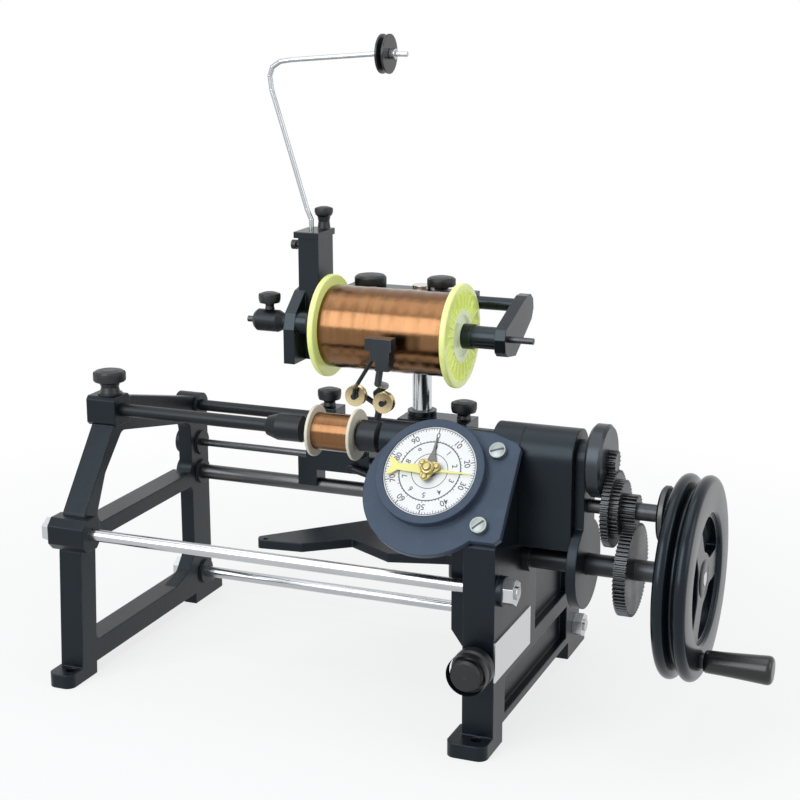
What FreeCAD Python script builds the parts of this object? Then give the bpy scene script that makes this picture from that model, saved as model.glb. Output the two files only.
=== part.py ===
import FreeCAD, Part
import math
import os

import Sketcher

from FreeCAD import Rotation, Vector

# Hand-cranked wire coil winding machine.
# Frame: origin at the centre of the four foot bolts, on the bench; X along the machine from the
# tailstock (left) to the handwheel (right), Y from the operator to the back, Z up. Millimetres.

doc = FreeCAD.newDocument("CoilWinder")
sheet = doc.addObject("Spreadsheet::Sheet", "dim")

# Driving dimensions: alias, value, meaning.
DIMENSIONS = [
    ("gap", 0.05, "radial running clearance of every shaft, rod and pin"),
    ("seat_gap", 0.3, "clearance between faces that move past each other"),
    ("foot_bolt_x", 168.5, "foot bolts: half spacing along the machine"),
    ("foot_bolt_y", 116.0, "foot bolts: half spacing front to back"),
    ("foot_bolt_hole", 4.25, "foot bolt hole radius, M8"),
    ("foot_height", 11.0, "thickness of the cast feet"),
    ("foot_end", 12.0, "foot beyond the bolt centre"),
    ("left_inner", 161.5, "inner face of the left end frame from the centre"),
    ("left_width", 19.5, "width of the left end frame"),
    ("left_web", 12.0, "width of the left frame's top bar and rear leg"),
    ("right_inner", 155.5, "inner face of the right end frame from the centre"),
    ("right_width", 23.6, "width of the right end frame"),
    ("leg_front", 111.0, "front face of the front legs, forward of the centre"),
    ("leg_depth", 21.0, "front to back depth of a leg"),
    ("leg_rake", 6.0, "backward rake of the left front leg over its height"),
    ("knee_height", 104.0, "height of the knee where the left front leg turns back"),
    ("rear_leg_front", 74.0, "front face of the rear legs"),
    ("rear_leg_depth", 30.0, "depth of the rear legs"),
    ("low_bar_bottom", 9.7, "underside of the lower cross bar"),
    ("low_bar_top", 27.0, "top of the lower cross bar"),
    ("mid_bar_bottom", 108.7, "underside of the middle cross bar"),
    ("mid_bar_top", 121.0, "top of the middle cross bar"),
    ("top_bar_depth", 16.0, "depth of the sloping top bar"),
    ("top_bar_rear", 183.0, "height of the top bar at the rear leg"),
    ("strut_depth", 13.0, "depth of the inclined front strut"),
    ("axis_y", -40.0, "winding axis, forward of the centre"),
    ("axis_z", 204.5, "winding axis height"),
    ("front_rod_y", -100.0, "front tie rod"),
    ("front_rod_z", 119.5, "front tie rod height"),
    ("rear_rod_y", 92.0, "rear rods, one above another"),
    ("low_rod_z", 24.5, "low rear tie rod height"),
    ("tie_rod_radius", 4.75, "tie rods and top rail"),
    ("rail_z", 117.2, "guide rail height"),
    ("rail_radius", 6.3, "guide rail"),
    ("traverse_z", 143.4, "thin traverse rod height"),
    ("traverse_radius", 3.0, "thin traverse rod"),
    ("top_rail_z", 176.8, "top rail height"),
    ("knee_boss", 12.8, "half height of the front tie rod's boss in the left frame"),
    ("knee_boss_out", 4.6, "knee boss beyond the frame's inner and outer faces"),
    ("nut_width", 8.5, "half across the flats of the tie rod nuts"),
    ("nut_height", 8.0, "height of the tie rod nuts"),
    ("rod_end", 9.6, "rod beyond the seat of its nut"),
    ("quill_radius", 5.1, "tailstock quill"),
    ("quill_left", -183.0, "outer end of the quill"),
    ("quill_boss", 11.8, "half width of the clamp block around the quill"),
    ("centre_left", -29.0, "left end of the live centre"),
    ("centre_right", 3.0, "mouth of the live centre"),
    ("centre_radius", 10.3, "live centre cup"),
    ("spigot_radius", 4.0, "quill spigot that the live centre turns on"),
    ("spigot_length", 14.0, "length of the quill spigot"),
    ("bobbin_left", 9.5, "left face of the coil bobbin"),
    ("bobbin_right", 46.0, "right face of the coil bobbin"),
    ("bobbin_flange", 19.6, "bobbin flange radius"),
    ("bobbin_flange_thick", 2.6, "bobbin flange thickness"),
    ("bobbin_core", 8.0, "bobbin core radius"),
    ("bobbin_coil", 14.5, "radius of the wound wire on the bobbin"),
    ("arbor_radius", 3.0, "winding arbor through the bobbin"),
    ("cone_radius", 12.0, "drive cup radius"),
    ("cone_right", 66.0, "right end of the drive cup"),
    ("spindle_radius", 6.0, "spindle"),
    ("spindle_right", 246.0, "outer end of the spindle"),
    ("sleeve_left", 68.0, "left end of the spindle sleeve"),
    ("sleeve_radius", 14.0, "spindle sleeve"),
    ("bush_wall", 3.0, "wall of the spindle bushes"),
    ("bush_length", 14.0, "length of the spindle bushes"),
    ("barrel_radius", 21.6, "barrel of the gear case about the spindle"),
    ("case_right", 218.7, "right face of the gear case"),
    ("case_bottom", 141.0, "underside of the gear case"),
    ("case_wall", 4.0, "wall of the gear case"),
    ("plate_right", 182.6, "right edge of the dial plate"),
    ("plate_y", -65.7, "top edge of the dial plate's face"),
    ("plate_z", 216.5, "height of that edge"),
    ("plate_lean", 50.4, "dial plate's normal from the vertical, degrees"),
    ("plate_thick", 5.6, "dial plate thickness"),
    ("plate_disc_x", 124.0, "centre of the plate's round end"),
    ("plate_disc_s", -39.0, "centre of the round end down the slope"),
    ("plate_disc_radius", 51.5, "radius of the round end"),
    ("plate_low", -75.0, "lower edge of the plate's square end, down the slope"),
    ("dial_x", 122.0, "dial centre"),
    ("dial_s", -29.0, "dial centre, down the slope"),
    ("dial_radius", 34.5, "dial face radius"),
    ("ring_radius", 40.5, "outer radius of the dial's raised ring"),
    ("ring_height", 7.5, "height of the raised ring"),
    ("face_height", 6.2, "height of the dial face above the plate"),
    ("hand_gap", 0.9, "air between dial face and pointers"),
    ("hand_thick", 0.8, "thickness of a pointer"),
    ("hub_radius", 9.0, "brass hub radius"),
    ("hub_height", 5.4, "brass hub height"),
    ("dial_shaft_radius", 3.0, "dial shaft"),
    ("short_sleeve", 4.6, "sleeve of the short pointer"),
    ("wheel_teeth", 50.0, "teeth of the dial worm wheel"),
    ("worm_radius", 6.9, "pitch radius of the spindle worm"),
    ("worm_length", 18.0, "length of the spindle worm"),
    ("worm_wheel_thick", 7.0, "thickness of the dial worm wheel"),
    ("drum_radius", 33.2, "drum behind the dial"),
    ("drum_wall", 3.2, "wall of the drum"),
    ("plate_screw_radius", 6.0, "heads of the dial plate screws"),
    ("gear_module", 1.0, "module of the spur gears"),
    ("input_z", 126.0, "input shaft height"),
    ("middle_z", 170.0, "intermediate shaft height"),
    ("input_teeth", 66.0, "teeth of the input gear"),
    ("pinion_teeth", 22.0, "teeth of the intermediate pinion"),
    ("large_teeth", 54.0, "teeth of the large intermediate gear"),
    ("spare_teeth", 41.0, "teeth of the spare change gear step"),
    ("spindle_teeth", 15.0, "teeth cut on the spindle end"),
    ("step_left", 240.8, "left face of the stepped gear"),
    ("step_thick", 5.6, "width of each step"),
    ("input_gear_left", 253.0, "left face of the input gear"),
    ("input_gear_thick", 9.0, "width of the input gear"),
    ("gear_hub", 7.7, "hub radius of the gears"),
    ("shaft_radius", 5.0, "input and intermediate shafts"),
    ("tube_radius", 8.0, "bearing tube of the input shaft"),
    ("tube_right", 250.5, "right end of the bearing tube"),
    ("tube_flange", 11.0, "flange of the bearing tube"),
    ("bearing_plate_thick", 7.3, "outer bearing plate"),
    ("bearing_plate_low", 33.0, "radius of the bearing plate about the input shaft"),
    ("bearing_plate_top", 14.0, "radius of the bearing plate about the spindle"),
    ("disc_left", 228.0, "left face of the spindle disc"),
    ("disc_thick", 12.0, "thickness of the spindle disc"),
    ("disc_radius", 26.5, "spindle disc radius"),
    ("feed_knob_left", 279.0, "left face of the intermediate shaft's hand disc"),
    ("feed_knob_thick", 6.0, "thickness of that hand disc"),
    ("feed_knob_radius", 20.6, "radius of that hand disc"),
    ("wheel_left", 289.5, "left face of the handwheel rim"),
    ("wheel_right", 313.5, "right face of the handwheel rim"),
    ("wheel_radius", 73.3, "handwheel radius"),
    ("wheel_inner", 46.5, "inner radius of the handwheel rim"),
    ("groove_depth", 9.5, "depth of the belt groove"),
    ("groove_half", 5.2, "half width of the belt groove at the rim"),
    ("wheel_hub", 13.0, "handwheel hub radius"),
    ("spoke_width", 17.0, "width of a spoke, between two windows of the web"),
    ("spoke_thick", 8.0, "thickness of the wheel's web"),
    ("web_sink", 3.0, "web behind the right face of the rim"),
    ("window_inner", 19.0, "inner radius of the windows in the web"),
    ("window_outer", 44.0, "outer radius of those windows"),
    ("crank_radius", 60.0, "crank handle from the wheel's centre"),
    ("crank_lean", 5.0, "crank handle forward of straight down, degrees"),
    ("crank_pin_radius", 4.0, "crank pin"),
    ("handle_length", 48.5, "crank handle length"),
    ("handle_small", 6.6, "crank handle radius at the wheel"),
    ("handle_large", 10.4, "crank handle radius at the end"),
    ("leg_knob_x", 167.0, "knob in the front leg"),
    ("leg_knob_z", 67.0, "height of that knob"),
    ("leg_knob_radius", 15.0, "radius of that knob"),
    ("leg_knob_cap", 11.7, "radius of its outer disc"),
    ("front_boss", 4.7, "boss under the front tie rod's right nut"),
    ("name_plate_length", 80.0, "bare plate on the right frame's side"),
    ("name_plate_height", 30.0, "its height"),
    ("name_plate_z", 54.0, "its lower edge"),
    ("name_plate_thick", 1.2, "its thickness"),
    ("clamp_x", -169.0, "quill clamp knob"),
    ("clamp_radius", 12.9, "clamp knob head"),
    ("clamp_neck", 8.2, "clamp knob neck"),
    ("clamp_height", 18.6, "clamp knob height"),
    ("washer_thick", 1.4, "clamp washer thickness"),
    ("lever_x", 120.0, "pivot of the traverse lever and link pin, along the machine"),
    ("lever_y", -10.0, "pivot of the traverse lever, front to back"),
    ("lever_reach", 163.0, "pivot to the finger tip of the lever, along the machine"),
    ("lever_droop", 28.0, "finger tip forward of the pivot"),
    ("lever_bottom", 104.5, "underside of the lever"),
    ("lever_thick", 7.0, "thickness of the lever plate"),
    ("lever_arm", 70.0, "pivot to the link pin"),
    ("bracket_thick", 11.8, "bracket that carries the lever"),
    ("pin_radius", 3.0, "lever pivot bolt and clamp screw"),
    ("link_pin_radius", 2.5, "link pin in the lever"),
    ("link_slack", 1.6, "play of the link eye round its pin"),
    ("block_left", -64.0, "left face of the carriage foot"),
    ("block_right", -47.0, "right face of the carriage foot"),
    ("carriage_right", 2.5, "right end of the carriage"),
    ("carriage_front", 80.0, "front face of the carriage"),
    ("carriage_back", 104.0, "rear face of the carriage"),
    ("carriage_knob_x", -38.0, "carriage clamp knob"),
    ("carriage_knob_radius", 9.75, "its head"),
    ("stem_x", 24.0, "wire guide stem"),
    ("stem_y", 47.0, "wire guide stem, front to back"),
    ("stem_radius", 2.8, "wire guide stem and legs"),
    ("pulley_radius", 8.5, "guide pulleys"),
    ("pulley_thick", 6.0, "guide pulley thickness"),
    ("pulley_left_x", 10.0, "left guide pulley"),
    ("pulley_left_z", 213.6, "left guide pulley height"),
    ("pulley_right_x", 34.0, "right guide pulley"),
    ("pulley_right_z", 210.0, "right guide pulley height"),
    ("pulley_y", 35.0, "front face of the guide pulleys"),
    ("felt_x", 38.0, "left side of the felt clamp"),
    ("felt_width", 21.5, "width of the felt clamp"),
    ("felt_y", -9.5, "front of the felt clamp"),
    ("felt_depth", 10.0, "depth of the felt clamp"),
    ("felt_z", 247.0, "underside of the felt clamp"),
    ("felt_height", 25.0, "height of the felt clamp"),
    ("stand_left", 28.0, "left face of the stand block"),
    ("stand_right", 88.0, "right face of the stand block"),
    ("stand_top", 186.0, "top of the stand block"),
    ("stand_knob_x", 80.0, "stand block knob"),
    ("stand_knob_radius", 10.5, "its head"),
    ("post_x", 43.4, "spool post"),
    ("post_y", 97.0, "spool post and holder bar"),
    ("post_radius", 8.0, "spool post radius"),
    ("post_top", 295.2, "top of the spool post"),
    ("holder_bar_z", 284.0, "holder bar height"),
    ("holder_bar_radius", 5.25, "holder bar radius"),
    ("holder_left", -20.0, "left end of the holder clamp"),
    ("holder_right", 90.0, "right end of the holder clamp"),
    ("holder_half", 8.0, "half thickness of the holder clamp"),
    ("holder_knob_left_x", -2.0, "left holder knob"),
    ("holder_knob_right_x", 60.0, "right holder knob"),
    ("bar_left_end", -46.0, "left bar, outer end"),
    ("bar_left_stop", 30.0, "left bar, inner end"),
    ("bar_right_stop", 53.0, "right bar, inner end"),
    ("spool_y", 47.0, "supply spool axis"),
    ("spool_z", 267.0, "supply spool axis height"),
    ("spool_left", -18.0, "left face of the supply spool"),
    ("spool_right", 97.0, "right face of the supply spool"),
    ("spool_flange", 41.0, "supply spool flange radius"),
    ("spool_flange_thick", 5.0, "supply spool flange thickness"),
    ("spool_core", 12.0, "supply spool core radius"),
    ("spool_coil", 33.5, "radius of the wire on the supply spool"),
    ("spool_shaft_radius", 2.5, "supply spool shaft"),
    ("spool_shaft_left", -89.0, "left end of the spool shaft"),
    ("spool_shaft_right", 154.5, "right end of the spool shaft"),
    ("arm_left", 126.0, "left face of the right arm"),
    ("arm_disc", 9.9, "disc that stops the spool"),
    ("arm_disc_thick", 8.5, "its thickness"),
    ("arm_sleeve", 8.8, "sleeve between disc and right arm"),
    ("arm_thick", 9.0, "thickness of the right arm"),
    ("column_left", -48.0, "left face of the wire column"),
    ("column_right", -30.3, "right face of the wire column"),
    ("column_front", 57.0, "front face of the wire column"),
    ("column_back", 85.5, "rear face of the wire column"),
    ("column_top", 335.0, "shoulder of the wire column's cap"),
    ("collar_left", -82.0, "left end of the lock collar"),
    ("collar_right", -55.5, "shoulder of the lock collar"),
    ("collar_radius", 9.0, "lock collar radius"),
    ("collar_knob_x", -69.5, "lock collar knob"),
    ("wire_arm_x", -43.0, "foot of the wire arm"),
    ("wire_arm_y", 72.0, "wire arm, front to back"),
    ("wire_arm_radius", 2.0, "wire arm rod radius"),
    ("wire_arm_top", 479.5, "end of the wire arm"),
    ("sheave_x", 23.0, "wire sheave"),
    ("sheave_radius", 15.3, "wire sheave radius"),
    ("sheave_thick", 7.0, "wire sheave thickness"),
]

for row, (alias, number, meaning) in enumerate(DIMENSIONS, start=1):
    sheet.set(f"A{row}", alias)
    sheet.set(f"B{row}", str(number))
    sheet.setAlias(f"B{row}", alias)
    sheet.set(f"C{row}", meaning)
doc.recompute()


class Size:
    """A length that keeps its number together with the spreadsheet expression it comes from."""

    def __init__(self, number, text=None):
        self.number = float(number)
        self.text = text or repr(float(number))

    @staticmethod
    def of(other):
        return other if isinstance(other, Size) else Size(other)

    def __add__(self, other):
        other = Size.of(other)
        return Size(self.number + other.number, f"({self.text} + {other.text})")

    def __sub__(self, other):
        other = Size.of(other)
        return Size(self.number - other.number, f"({self.text} - {other.text})")

    def __mul__(self, other):
        other = Size.of(other)
        return Size(self.number * other.number, f"({self.text} * {other.text})")

    def __truediv__(self, other):
        other = Size.of(other)
        return Size(self.number / other.number, f"({self.text} / {other.text})")

    def __rsub__(self, other):
        return Size.of(other) - self

    def __neg__(self):
        return Size(-self.number, f"(0 - {self.text})")

    __radd__ = __add__
    __rmul__ = __mul__


class Sheet:
    """Reads a driving dimension by its alias, as in D.axis_z."""

    def __getattr__(self, alias):
        return Size(sheet.get(alias), f"dim.{alias}")


D = Sheet()


def sine(angle):
    return Size(math.sin(math.radians(angle.number)), f"sin({angle.text})")


def cosine(angle):
    return Size(math.cos(math.radians(angle.number)), f"cos({angle.text})")


# Local axes of a piece: u, v and w, with w its length. "X" turns u, v, w to Y, Z, X.
TURNS = {
    "Z": Rotation(),
    "X": Rotation(Vector(1, 1, 1), 120),
    "Y": Rotation(Vector(1, 0, 0), -90),
    "-Y": Rotation(Vector(1, 0, 0), 90),
    "dial": Rotation(Vector(1, 0, 0), D.plate_lean.number),
}
nodes = {}


def bind(thing, prop, size):
    thing.setExpression(prop, Size.of(size).text)


def place(thing, at, along="Z"):
    """Puts a piece's origin at a point, with its length along an axis."""
    thing.Placement = FreeCAD.Placement(Vector(), TURNS[along])
    if along == "dial":
        bind(thing, ".Placement.Rotation.Angle", D.plate_lean)
    for letter, size in zip("xyz", at):
        bind(thing, f".Placement.Base.{letter}", size)
    return thing


def rod(name, radius, length, at, along="Z"):
    piece = doc.addObject("Part::Cylinder", name)
    bind(piece, "Radius", radius)
    bind(piece, "Height", length)
    return place(piece, at, along)


def span(name, radius, start, end, y, z):
    """A round bar along X from one coordinate to another."""
    return rod(name, radius, end - start, (start, y, z), "X")


def block(name, low, high):
    """A box between two corners."""
    piece = doc.addObject("Part::Box", name)
    for prop, start, end in zip(("Length", "Width", "Height"), low, high):
        bind(piece, prop, Size.of(end) - start)
    return place(piece, low)


def outline(body, name, plane, points):
    """A closed sketch of straight lines, each corner held to its sizes."""
    sketch = body.newObject("Sketcher::SketchObject", name)
    origin = [f for f in body.Origin.OriginFeatures if f.Role == plane][0]
    sketch.AttachmentSupport = (origin, "")
    sketch.MapMode = "FlatFace"
    corners = [Vector(Size.of(u).number, Size.of(v).number, 0) for u, v in points]
    for here, there in zip(corners, corners[1:] + corners[:1]):
        sketch.addGeometry(Part.LineSegment(here, there))
    count = len(points)
    for index in range(count):
        sketch.addConstraint(Sketcher.Constraint("Coincident", index, 2, (index + 1) % count, 1))
    for index, (u, v) in enumerate(points):
        for kind, size in (("DistanceX", Size.of(u)), ("DistanceY", Size.of(v))):
            number = sketch.addConstraint(Sketcher.Constraint(kind, -1, 1, index, 1, size.number))
            sketch.setExpression(f"Constraints[{number}]", size.text)
    return sketch


def prism(name, points, thickness, at, along="Z"):
    """A plate with the outline (u, v), padded along w."""
    body = doc.addObject("PartDesign::Body", name)
    sketch = outline(body, f"{name}_outline", "XY_Plane", points)
    pad = body.newObject("PartDesign::Pad", f"{name}_pad")
    pad.Profile = sketch
    bind(pad, "Length", thickness)
    return place(body, at, along)


def chamfered(name, half, corner, start, end, y, z):
    """A square bar along X with cut corners, from one coordinate to another."""
    inset = half - corner
    points = [
        (inset, -half),
        (half, -inset),
        (half, inset),
        (inset, half),
        (-inset, half),
        (-half, inset),
        (-half, -inset),
        (-inset, -half),
    ]
    return prism(name, points, end - start, (start, y, z), "X")


def turned(name, points, at, along="Z"):
    """A turned piece: the outline (radius, height) revolved about w."""
    body = doc.addObject("PartDesign::Body", name)
    sketch = outline(body, f"{name}_profile", "XZ_Plane", points)
    turn = body.newObject("PartDesign::Revolution", f"{name}_turn")
    turn.Profile = sketch
    turn.ReferenceAxis = (sketch, ["V_Axis"])
    turn.Angle = 360
    return place(body, at, along)


def join(name, *pieces):
    piece = doc.addObject("Part::MultiFuse", name)
    piece.Shapes = list(pieces)
    piece.Refine = True
    return piece


def cut(name, base, *tools):
    piece = doc.addObject("Part::Cut", name)
    piece.Base = base
    piece.Tool = tools[0] if len(tools) == 1 else join(f"{name}_tools", *tools)
    piece.Refine = True
    return piece


def rounded(name, base, radius, wanted):
    """Rounds the edges of a piece for which wanted(edge) is true."""
    doc.recompute()
    piece = doc.addObject("Part::Fillet", name)
    piece.Base = base
    size = Size.of(radius).number
    chosen = [n for n, edge in enumerate(base.Shape.Edges, start=1) if wanted(edge)]
    piece.Edges = [(n, size, size) for n in chosen]
    return piece


def runs_along(direction):
    """True for a straight edge that runs along a direction."""

    def test(edge):
        ends = [vertex.Point for vertex in edge.Vertexes]
        if len(ends) != 2 or not isinstance(edge.Curve, Part.Line):
            return False
        run = (ends[1] - ends[0]).normalize()
        return abs(run.dot(direction)) > 0.999

    return test


def node(name, piece):
    """Names the finished sub-part; the name is its file's name too."""
    piece.Label = name
    nodes[name] = piece
    return piece


def toothed(name, teeth, width, at, root_only=False):
    """A spur gear blank with trapezoid teeth, its axis along X, one tooth pointing up."""
    module = D.gear_module.number
    count = int(round(Size.of(teeth).number))
    pitch_radius = module * count / 2
    tip, root = pitch_radius + 0.95 * module, pitch_radius - 1.1 * module
    step = 2 * math.pi / count
    points = []
    for tooth in range(count):
        middle = math.pi / 2 + tooth * step
        for radius, share in ((root, -0.31), (tip, -0.11), (tip, 0.11), (root, 0.31)):
            angle = middle + share * step
            points.append(Vector(0, radius * math.cos(angle), radius * math.sin(angle)))
    face = Part.Face(Part.makePolygon(points + points[:1]))
    gear = doc.addObject("Part::Feature", name)
    gear.Shape = face.extrude(Vector(Size.of(width).number, 0, 0))
    gear.Placement = FreeCAD.Placement(Vector(*[Size.of(c).number for c in at]), Rotation())
    return gear


def turned_gear(gear, half_pitches):
    """Turns a gear about its axis by a number of half tooth pitches, to bring it into mesh."""
    teeth = half_pitches[1].number
    gear.Placement = FreeCAD.Placement(
        gear.Placement.Base, Rotation(Vector(1, 0, 0), half_pitches[0] * 180 / teeth)
    )
    return gear


# ---------------------------------------------------------------- shared places
left_outer = -D.left_inner - D.left_width
left_inner = -D.left_inner
right_outer = D.right_inner + D.right_width
rear_leg_back = D.rear_leg_front + D.rear_leg_depth
rod_hole = D.tie_rod_radius + D.gap
AXIS = (D.axis_y, D.axis_z)
INPUT = (D.axis_y, D.input_z)
MIDDLE = (D.axis_y, D.middle_z)


def on_slope(along_x, down, out):
    """A point of the dial plate: X, distance up the slope and height off its face."""
    lean = D.plate_lean
    y = D.plate_y + down * cosine(lean) - out * sine(lean)
    z = D.plate_z + down * sine(lean) + out * cosine(lean)
    return along_x, y, z


def foot(name, start, end, bolt_x, side):
    """A cast foot with a round end beyond its bolt; side is -1 in front and 1 behind."""
    bolt_y = side * D.foot_bolt_y
    tip = bolt_y + side * D.foot_end
    inner = bolt_y - side * D.leg_depth
    low, high = (tip, inner) if side < 0 else (inner, tip)
    slab = block(f"{name}_slab", (start, low, 0), (end, high, D.foot_height))
    upright = runs_along(Vector(0, 0, 1))
    return rounded(
        f"{name}_round", slab, 7, lambda e: upright(e) and side * e.CenterOfMass.y > side * bolt_y.number
    )


def bolt_hole(name, bolt_x, side):
    return rod(name, D.foot_bolt_hole, D.foot_height + 2, (bolt_x, side * D.foot_bolt_y, -1))


# ---------------------------------------------------------------- left end frame
strut_low = (D.front_rod_y + 3, D.front_rod_z + 14.5)
strut_high = (D.axis_y - 8, D.axis_z - 9.5)
strut_in = (D.strut_depth * 0.78, D.strut_depth * 0.626)
strut_low_in = (strut_low[0] + strut_in[0], strut_low[1] - strut_in[1])
strut_high_in = (strut_high[0] + strut_in[0], strut_high[1] - strut_in[1])
strut_waist = (
    (strut_low_in[0] + strut_high_in[0]) / 2 - strut_in[0] * 0.3,
    (strut_low_in[1] + strut_high_in[1]) / 2 + strut_in[1] * 0.3,
)
top_front = (D.axis_y + 22, D.axis_z + 6.5)
top_rear = (rear_leg_back - 8, D.top_bar_rear)
leg_top = (-D.leg_front + D.leg_rake, D.knee_height)
leg_back_low = -D.leg_front + D.leg_depth
leg_back_high = leg_back_low + D.leg_rake

web = prism(
    "left_web_plate",
    [
        (-D.leg_front, 0),
        leg_top,
        strut_low,
        strut_high,
        (D.axis_y, D.axis_z + 9),
        top_front,
        top_rear,
        (rear_leg_back, D.top_bar_rear - 7),
        (rear_leg_back, 0),
        (D.rear_leg_front, 0),
        (D.rear_leg_front, D.low_bar_bottom),
        (leg_back_low, D.low_bar_bottom),
        (leg_back_low, 0),
    ],
    D.left_web,
    (left_inner - D.left_web, 0, 0),
    "X",
)
upper_opening = prism(
    "left_upper_opening",
    [
        (leg_back_high + 1, D.mid_bar_top),
        (strut_waist[0] + 1, strut_waist[1]),
        (strut_high_in[0] + 1, strut_high_in[1]),
        (D.rear_leg_front, D.top_bar_rear - D.top_bar_depth - 2),
        (D.rear_leg_front, D.mid_bar_top),
    ],
    D.left_width + 20,
    (left_outer - 10, 0, 0),
    "X",
)
lower_opening = prism(
    "left_lower_opening",
    [
        (leg_back_low + 1.5, D.low_bar_top),
        (leg_back_high, D.mid_bar_bottom),
        (D.rear_leg_front, D.mid_bar_bottom),
        (D.rear_leg_front, D.low_bar_top + 20),
        (D.rear_leg_front - 12, D.low_bar_top + 6),
        (D.rear_leg_front - 34, D.low_bar_top),
    ],
    D.left_width + 20,
    (left_outer - 10, 0, 0),
    "X",
)
along_x = runs_along(Vector(1, 0, 0))
upper_opening = rounded("left_upper_opening_round", upper_opening, 8, along_x)
lower_opening = rounded("left_lower_opening_round", lower_opening, 6, along_x)
front_rib = prism(
    "left_front_rib",
    [
        (-D.leg_front, 0),
        leg_top,
        strut_low,
        strut_high,
        (D.axis_y, D.axis_z),
        strut_high_in,
        strut_waist,
        strut_low_in,
        (leg_back_high, D.knee_height),
        (leg_back_low, 0),
    ],
    D.left_width,
    (left_outer, 0, 0),
    "X",
)
mid_rib = block(
    "left_mid_rib",
    (left_outer, leg_back_low, D.mid_bar_bottom),
    (left_inner, D.rear_leg_front + 2, D.mid_bar_top),
)
low_rib = block(
    "left_low_rib",
    (left_outer, leg_back_low, D.low_bar_bottom),
    (left_inner, D.rear_leg_front + 2, D.low_bar_top),
)
knee_boss = chamfered(
    "left_knee_boss",
    D.knee_boss,
    D.knee_boss * 0.45,
    left_outer - D.knee_boss_out,
    left_inner + D.knee_boss_out + 2.8,
    D.front_rod_y,
    D.front_rod_z,
)
quill_boss = chamfered("left_quill_boss", D.quill_boss, 2.6, left_outer - 3, left_inner + 3, *AXIS)
rear_bosses = [
    span(f"left_boss_{n}", D.rail_radius + 4.5, left_outer, left_inner + 2, D.rear_rod_y, z)
    for n, z in enumerate((D.low_rod_z, D.rail_z, D.traverse_z, D.top_rail_z))
]
left_feet = [
    foot(f"left_foot_{n}", left_outer - 2, left_inner, -D.foot_bolt_x, side)
    for n, side in enumerate((-1, 1))
]
left_body = join(
    "left_casting",
    cut("left_web_open", web, upper_opening, lower_opening),
    front_rib,
    mid_rib,
    low_rib,
    knee_boss,
    quill_boss,
    *rear_bosses,
    *left_feet,
)


def rod_holes(side, start, end):
    """The bores of one end frame for the tie rods, rails and traverse rod."""
    places = (
        (rod_hole, D.front_rod_y, D.front_rod_z),
        (rod_hole, D.rear_rod_y, D.low_rod_z),
        (D.rail_radius + D.gap, D.rear_rod_y, D.rail_z),
        (D.traverse_radius + D.gap, D.rear_rod_y, D.traverse_z),
        (rod_hole, D.rear_rod_y, D.top_rail_z),
    )
    return [
        span(f"{side}_rod_hole_{n}", radius, start, end, y, z)
        for n, (radius, y, z) in enumerate(places)
    ]


clamp_screw_radius = D.pin_radius
node(
    "left_frame",
    cut(
        "left_frame",
        left_body,
        span("quill_bore", D.quill_radius + D.gap, left_outer - 10, left_inner + 10, *AXIS),
        rod("clamp_bore", clamp_screw_radius + D.gap, D.quill_boss + 4, (D.clamp_x, *AXIS)),
        *rod_holes("left", left_outer - 10, left_inner + 12),
        *[bolt_hole(f"left_bolt_hole_{n}", -D.foot_bolt_x, s) for n, s in enumerate((-1, 1))],
    ),
)

# ---------------------------------------------------------------- right end frame
slope_back = -D.plate_thick
slope_top = on_slope(0, 0, slope_back)[1:]
slope_fall = (slope_top[0] + D.leg_front) * (sine(D.plate_lean) / cosine(D.plate_lean))
slope_foot = (-D.leg_front, slope_top[1] - slope_fall)
right_plate = prism(
    "right_plate",
    [
        (-D.leg_front, 0),
        slope_foot,
        slope_top,
        (D.axis_y, slope_top[1]),
        top_front,
        top_rear,
        (rear_leg_back, D.top_bar_rear - 7),
        (rear_leg_back, 0),
        (D.rear_leg_front, 0),
        (D.rear_leg_front, D.low_bar_bottom + 5),
        (leg_back_low, D.low_bar_bottom + 5),
        (leg_back_low, 0),
    ],
    D.right_width,
    (D.right_inner, 0, 0),
    "X",
)
right_barrel = span("right_barrel", D.barrel_radius, D.right_inner + 1.7, right_outer, *AXIS)
gusset = prism(
    "right_gusset",
    [
        (D.right_inner - 15.5, D.input_z - 44),
        (D.right_inner - 15.5, D.middle_z - 20),
        (D.right_inner + 1, D.middle_z - 20),
        (D.right_inner + 1, D.input_z - 67),
    ],
    14,
    (0, leg_back_low + 12, 0),
    "-Y",
)
PIVOT = (D.lever_x, D.lever_y)
bracket_top = D.lever_bottom - D.seat_gap
bracket_bottom = bracket_top - D.bracket_thick
lever_bracket = block(
    "lever_bracket",
    (D.lever_x, D.lever_y - 12, bracket_bottom),
    (D.right_inner + 1, D.lever_y + 12, bracket_top),
)
bracket_end = rod("bracket_end", 12, D.bracket_thick, (*PIVOT, bracket_bottom))
panel_recess = block(
    "panel_recess",
    (right_outer - 6, leg_back_low + 4, D.low_bar_bottom + 11),
    (right_outer + 1, D.rear_leg_front - 6, D.name_plate_z - 6),
)
upper_recess = block(
    "upper_recess",
    (right_outer - 6, D.axis_y + 24, D.name_plate_z + 6),
    (right_outer + 1, D.rear_leg_front - 6, D.mid_bar_top + 40),
)
front_seat = right_outer + D.front_boss
front_boss = span("right_nut_boss", 11, right_outer - 1, front_seat, D.front_rod_y, D.front_rod_z)
right_feet = [
    foot(f"right_foot_{n}", D.right_inner - 7, right_outer, D.foot_bolt_x, side)
    for n, side in enumerate((-1, 1))
]
right_body = join(
    "right_casting",
    cut("right_plate_open", right_plate, panel_recess, upper_recess),
    right_barrel,
    gusset,
    lever_bracket,
    bracket_end,
    front_boss,
    *right_feet,
)
bush_radius = D.spindle_radius + D.gap + D.bush_wall
tube_start = D.right_inner + 6
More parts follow.
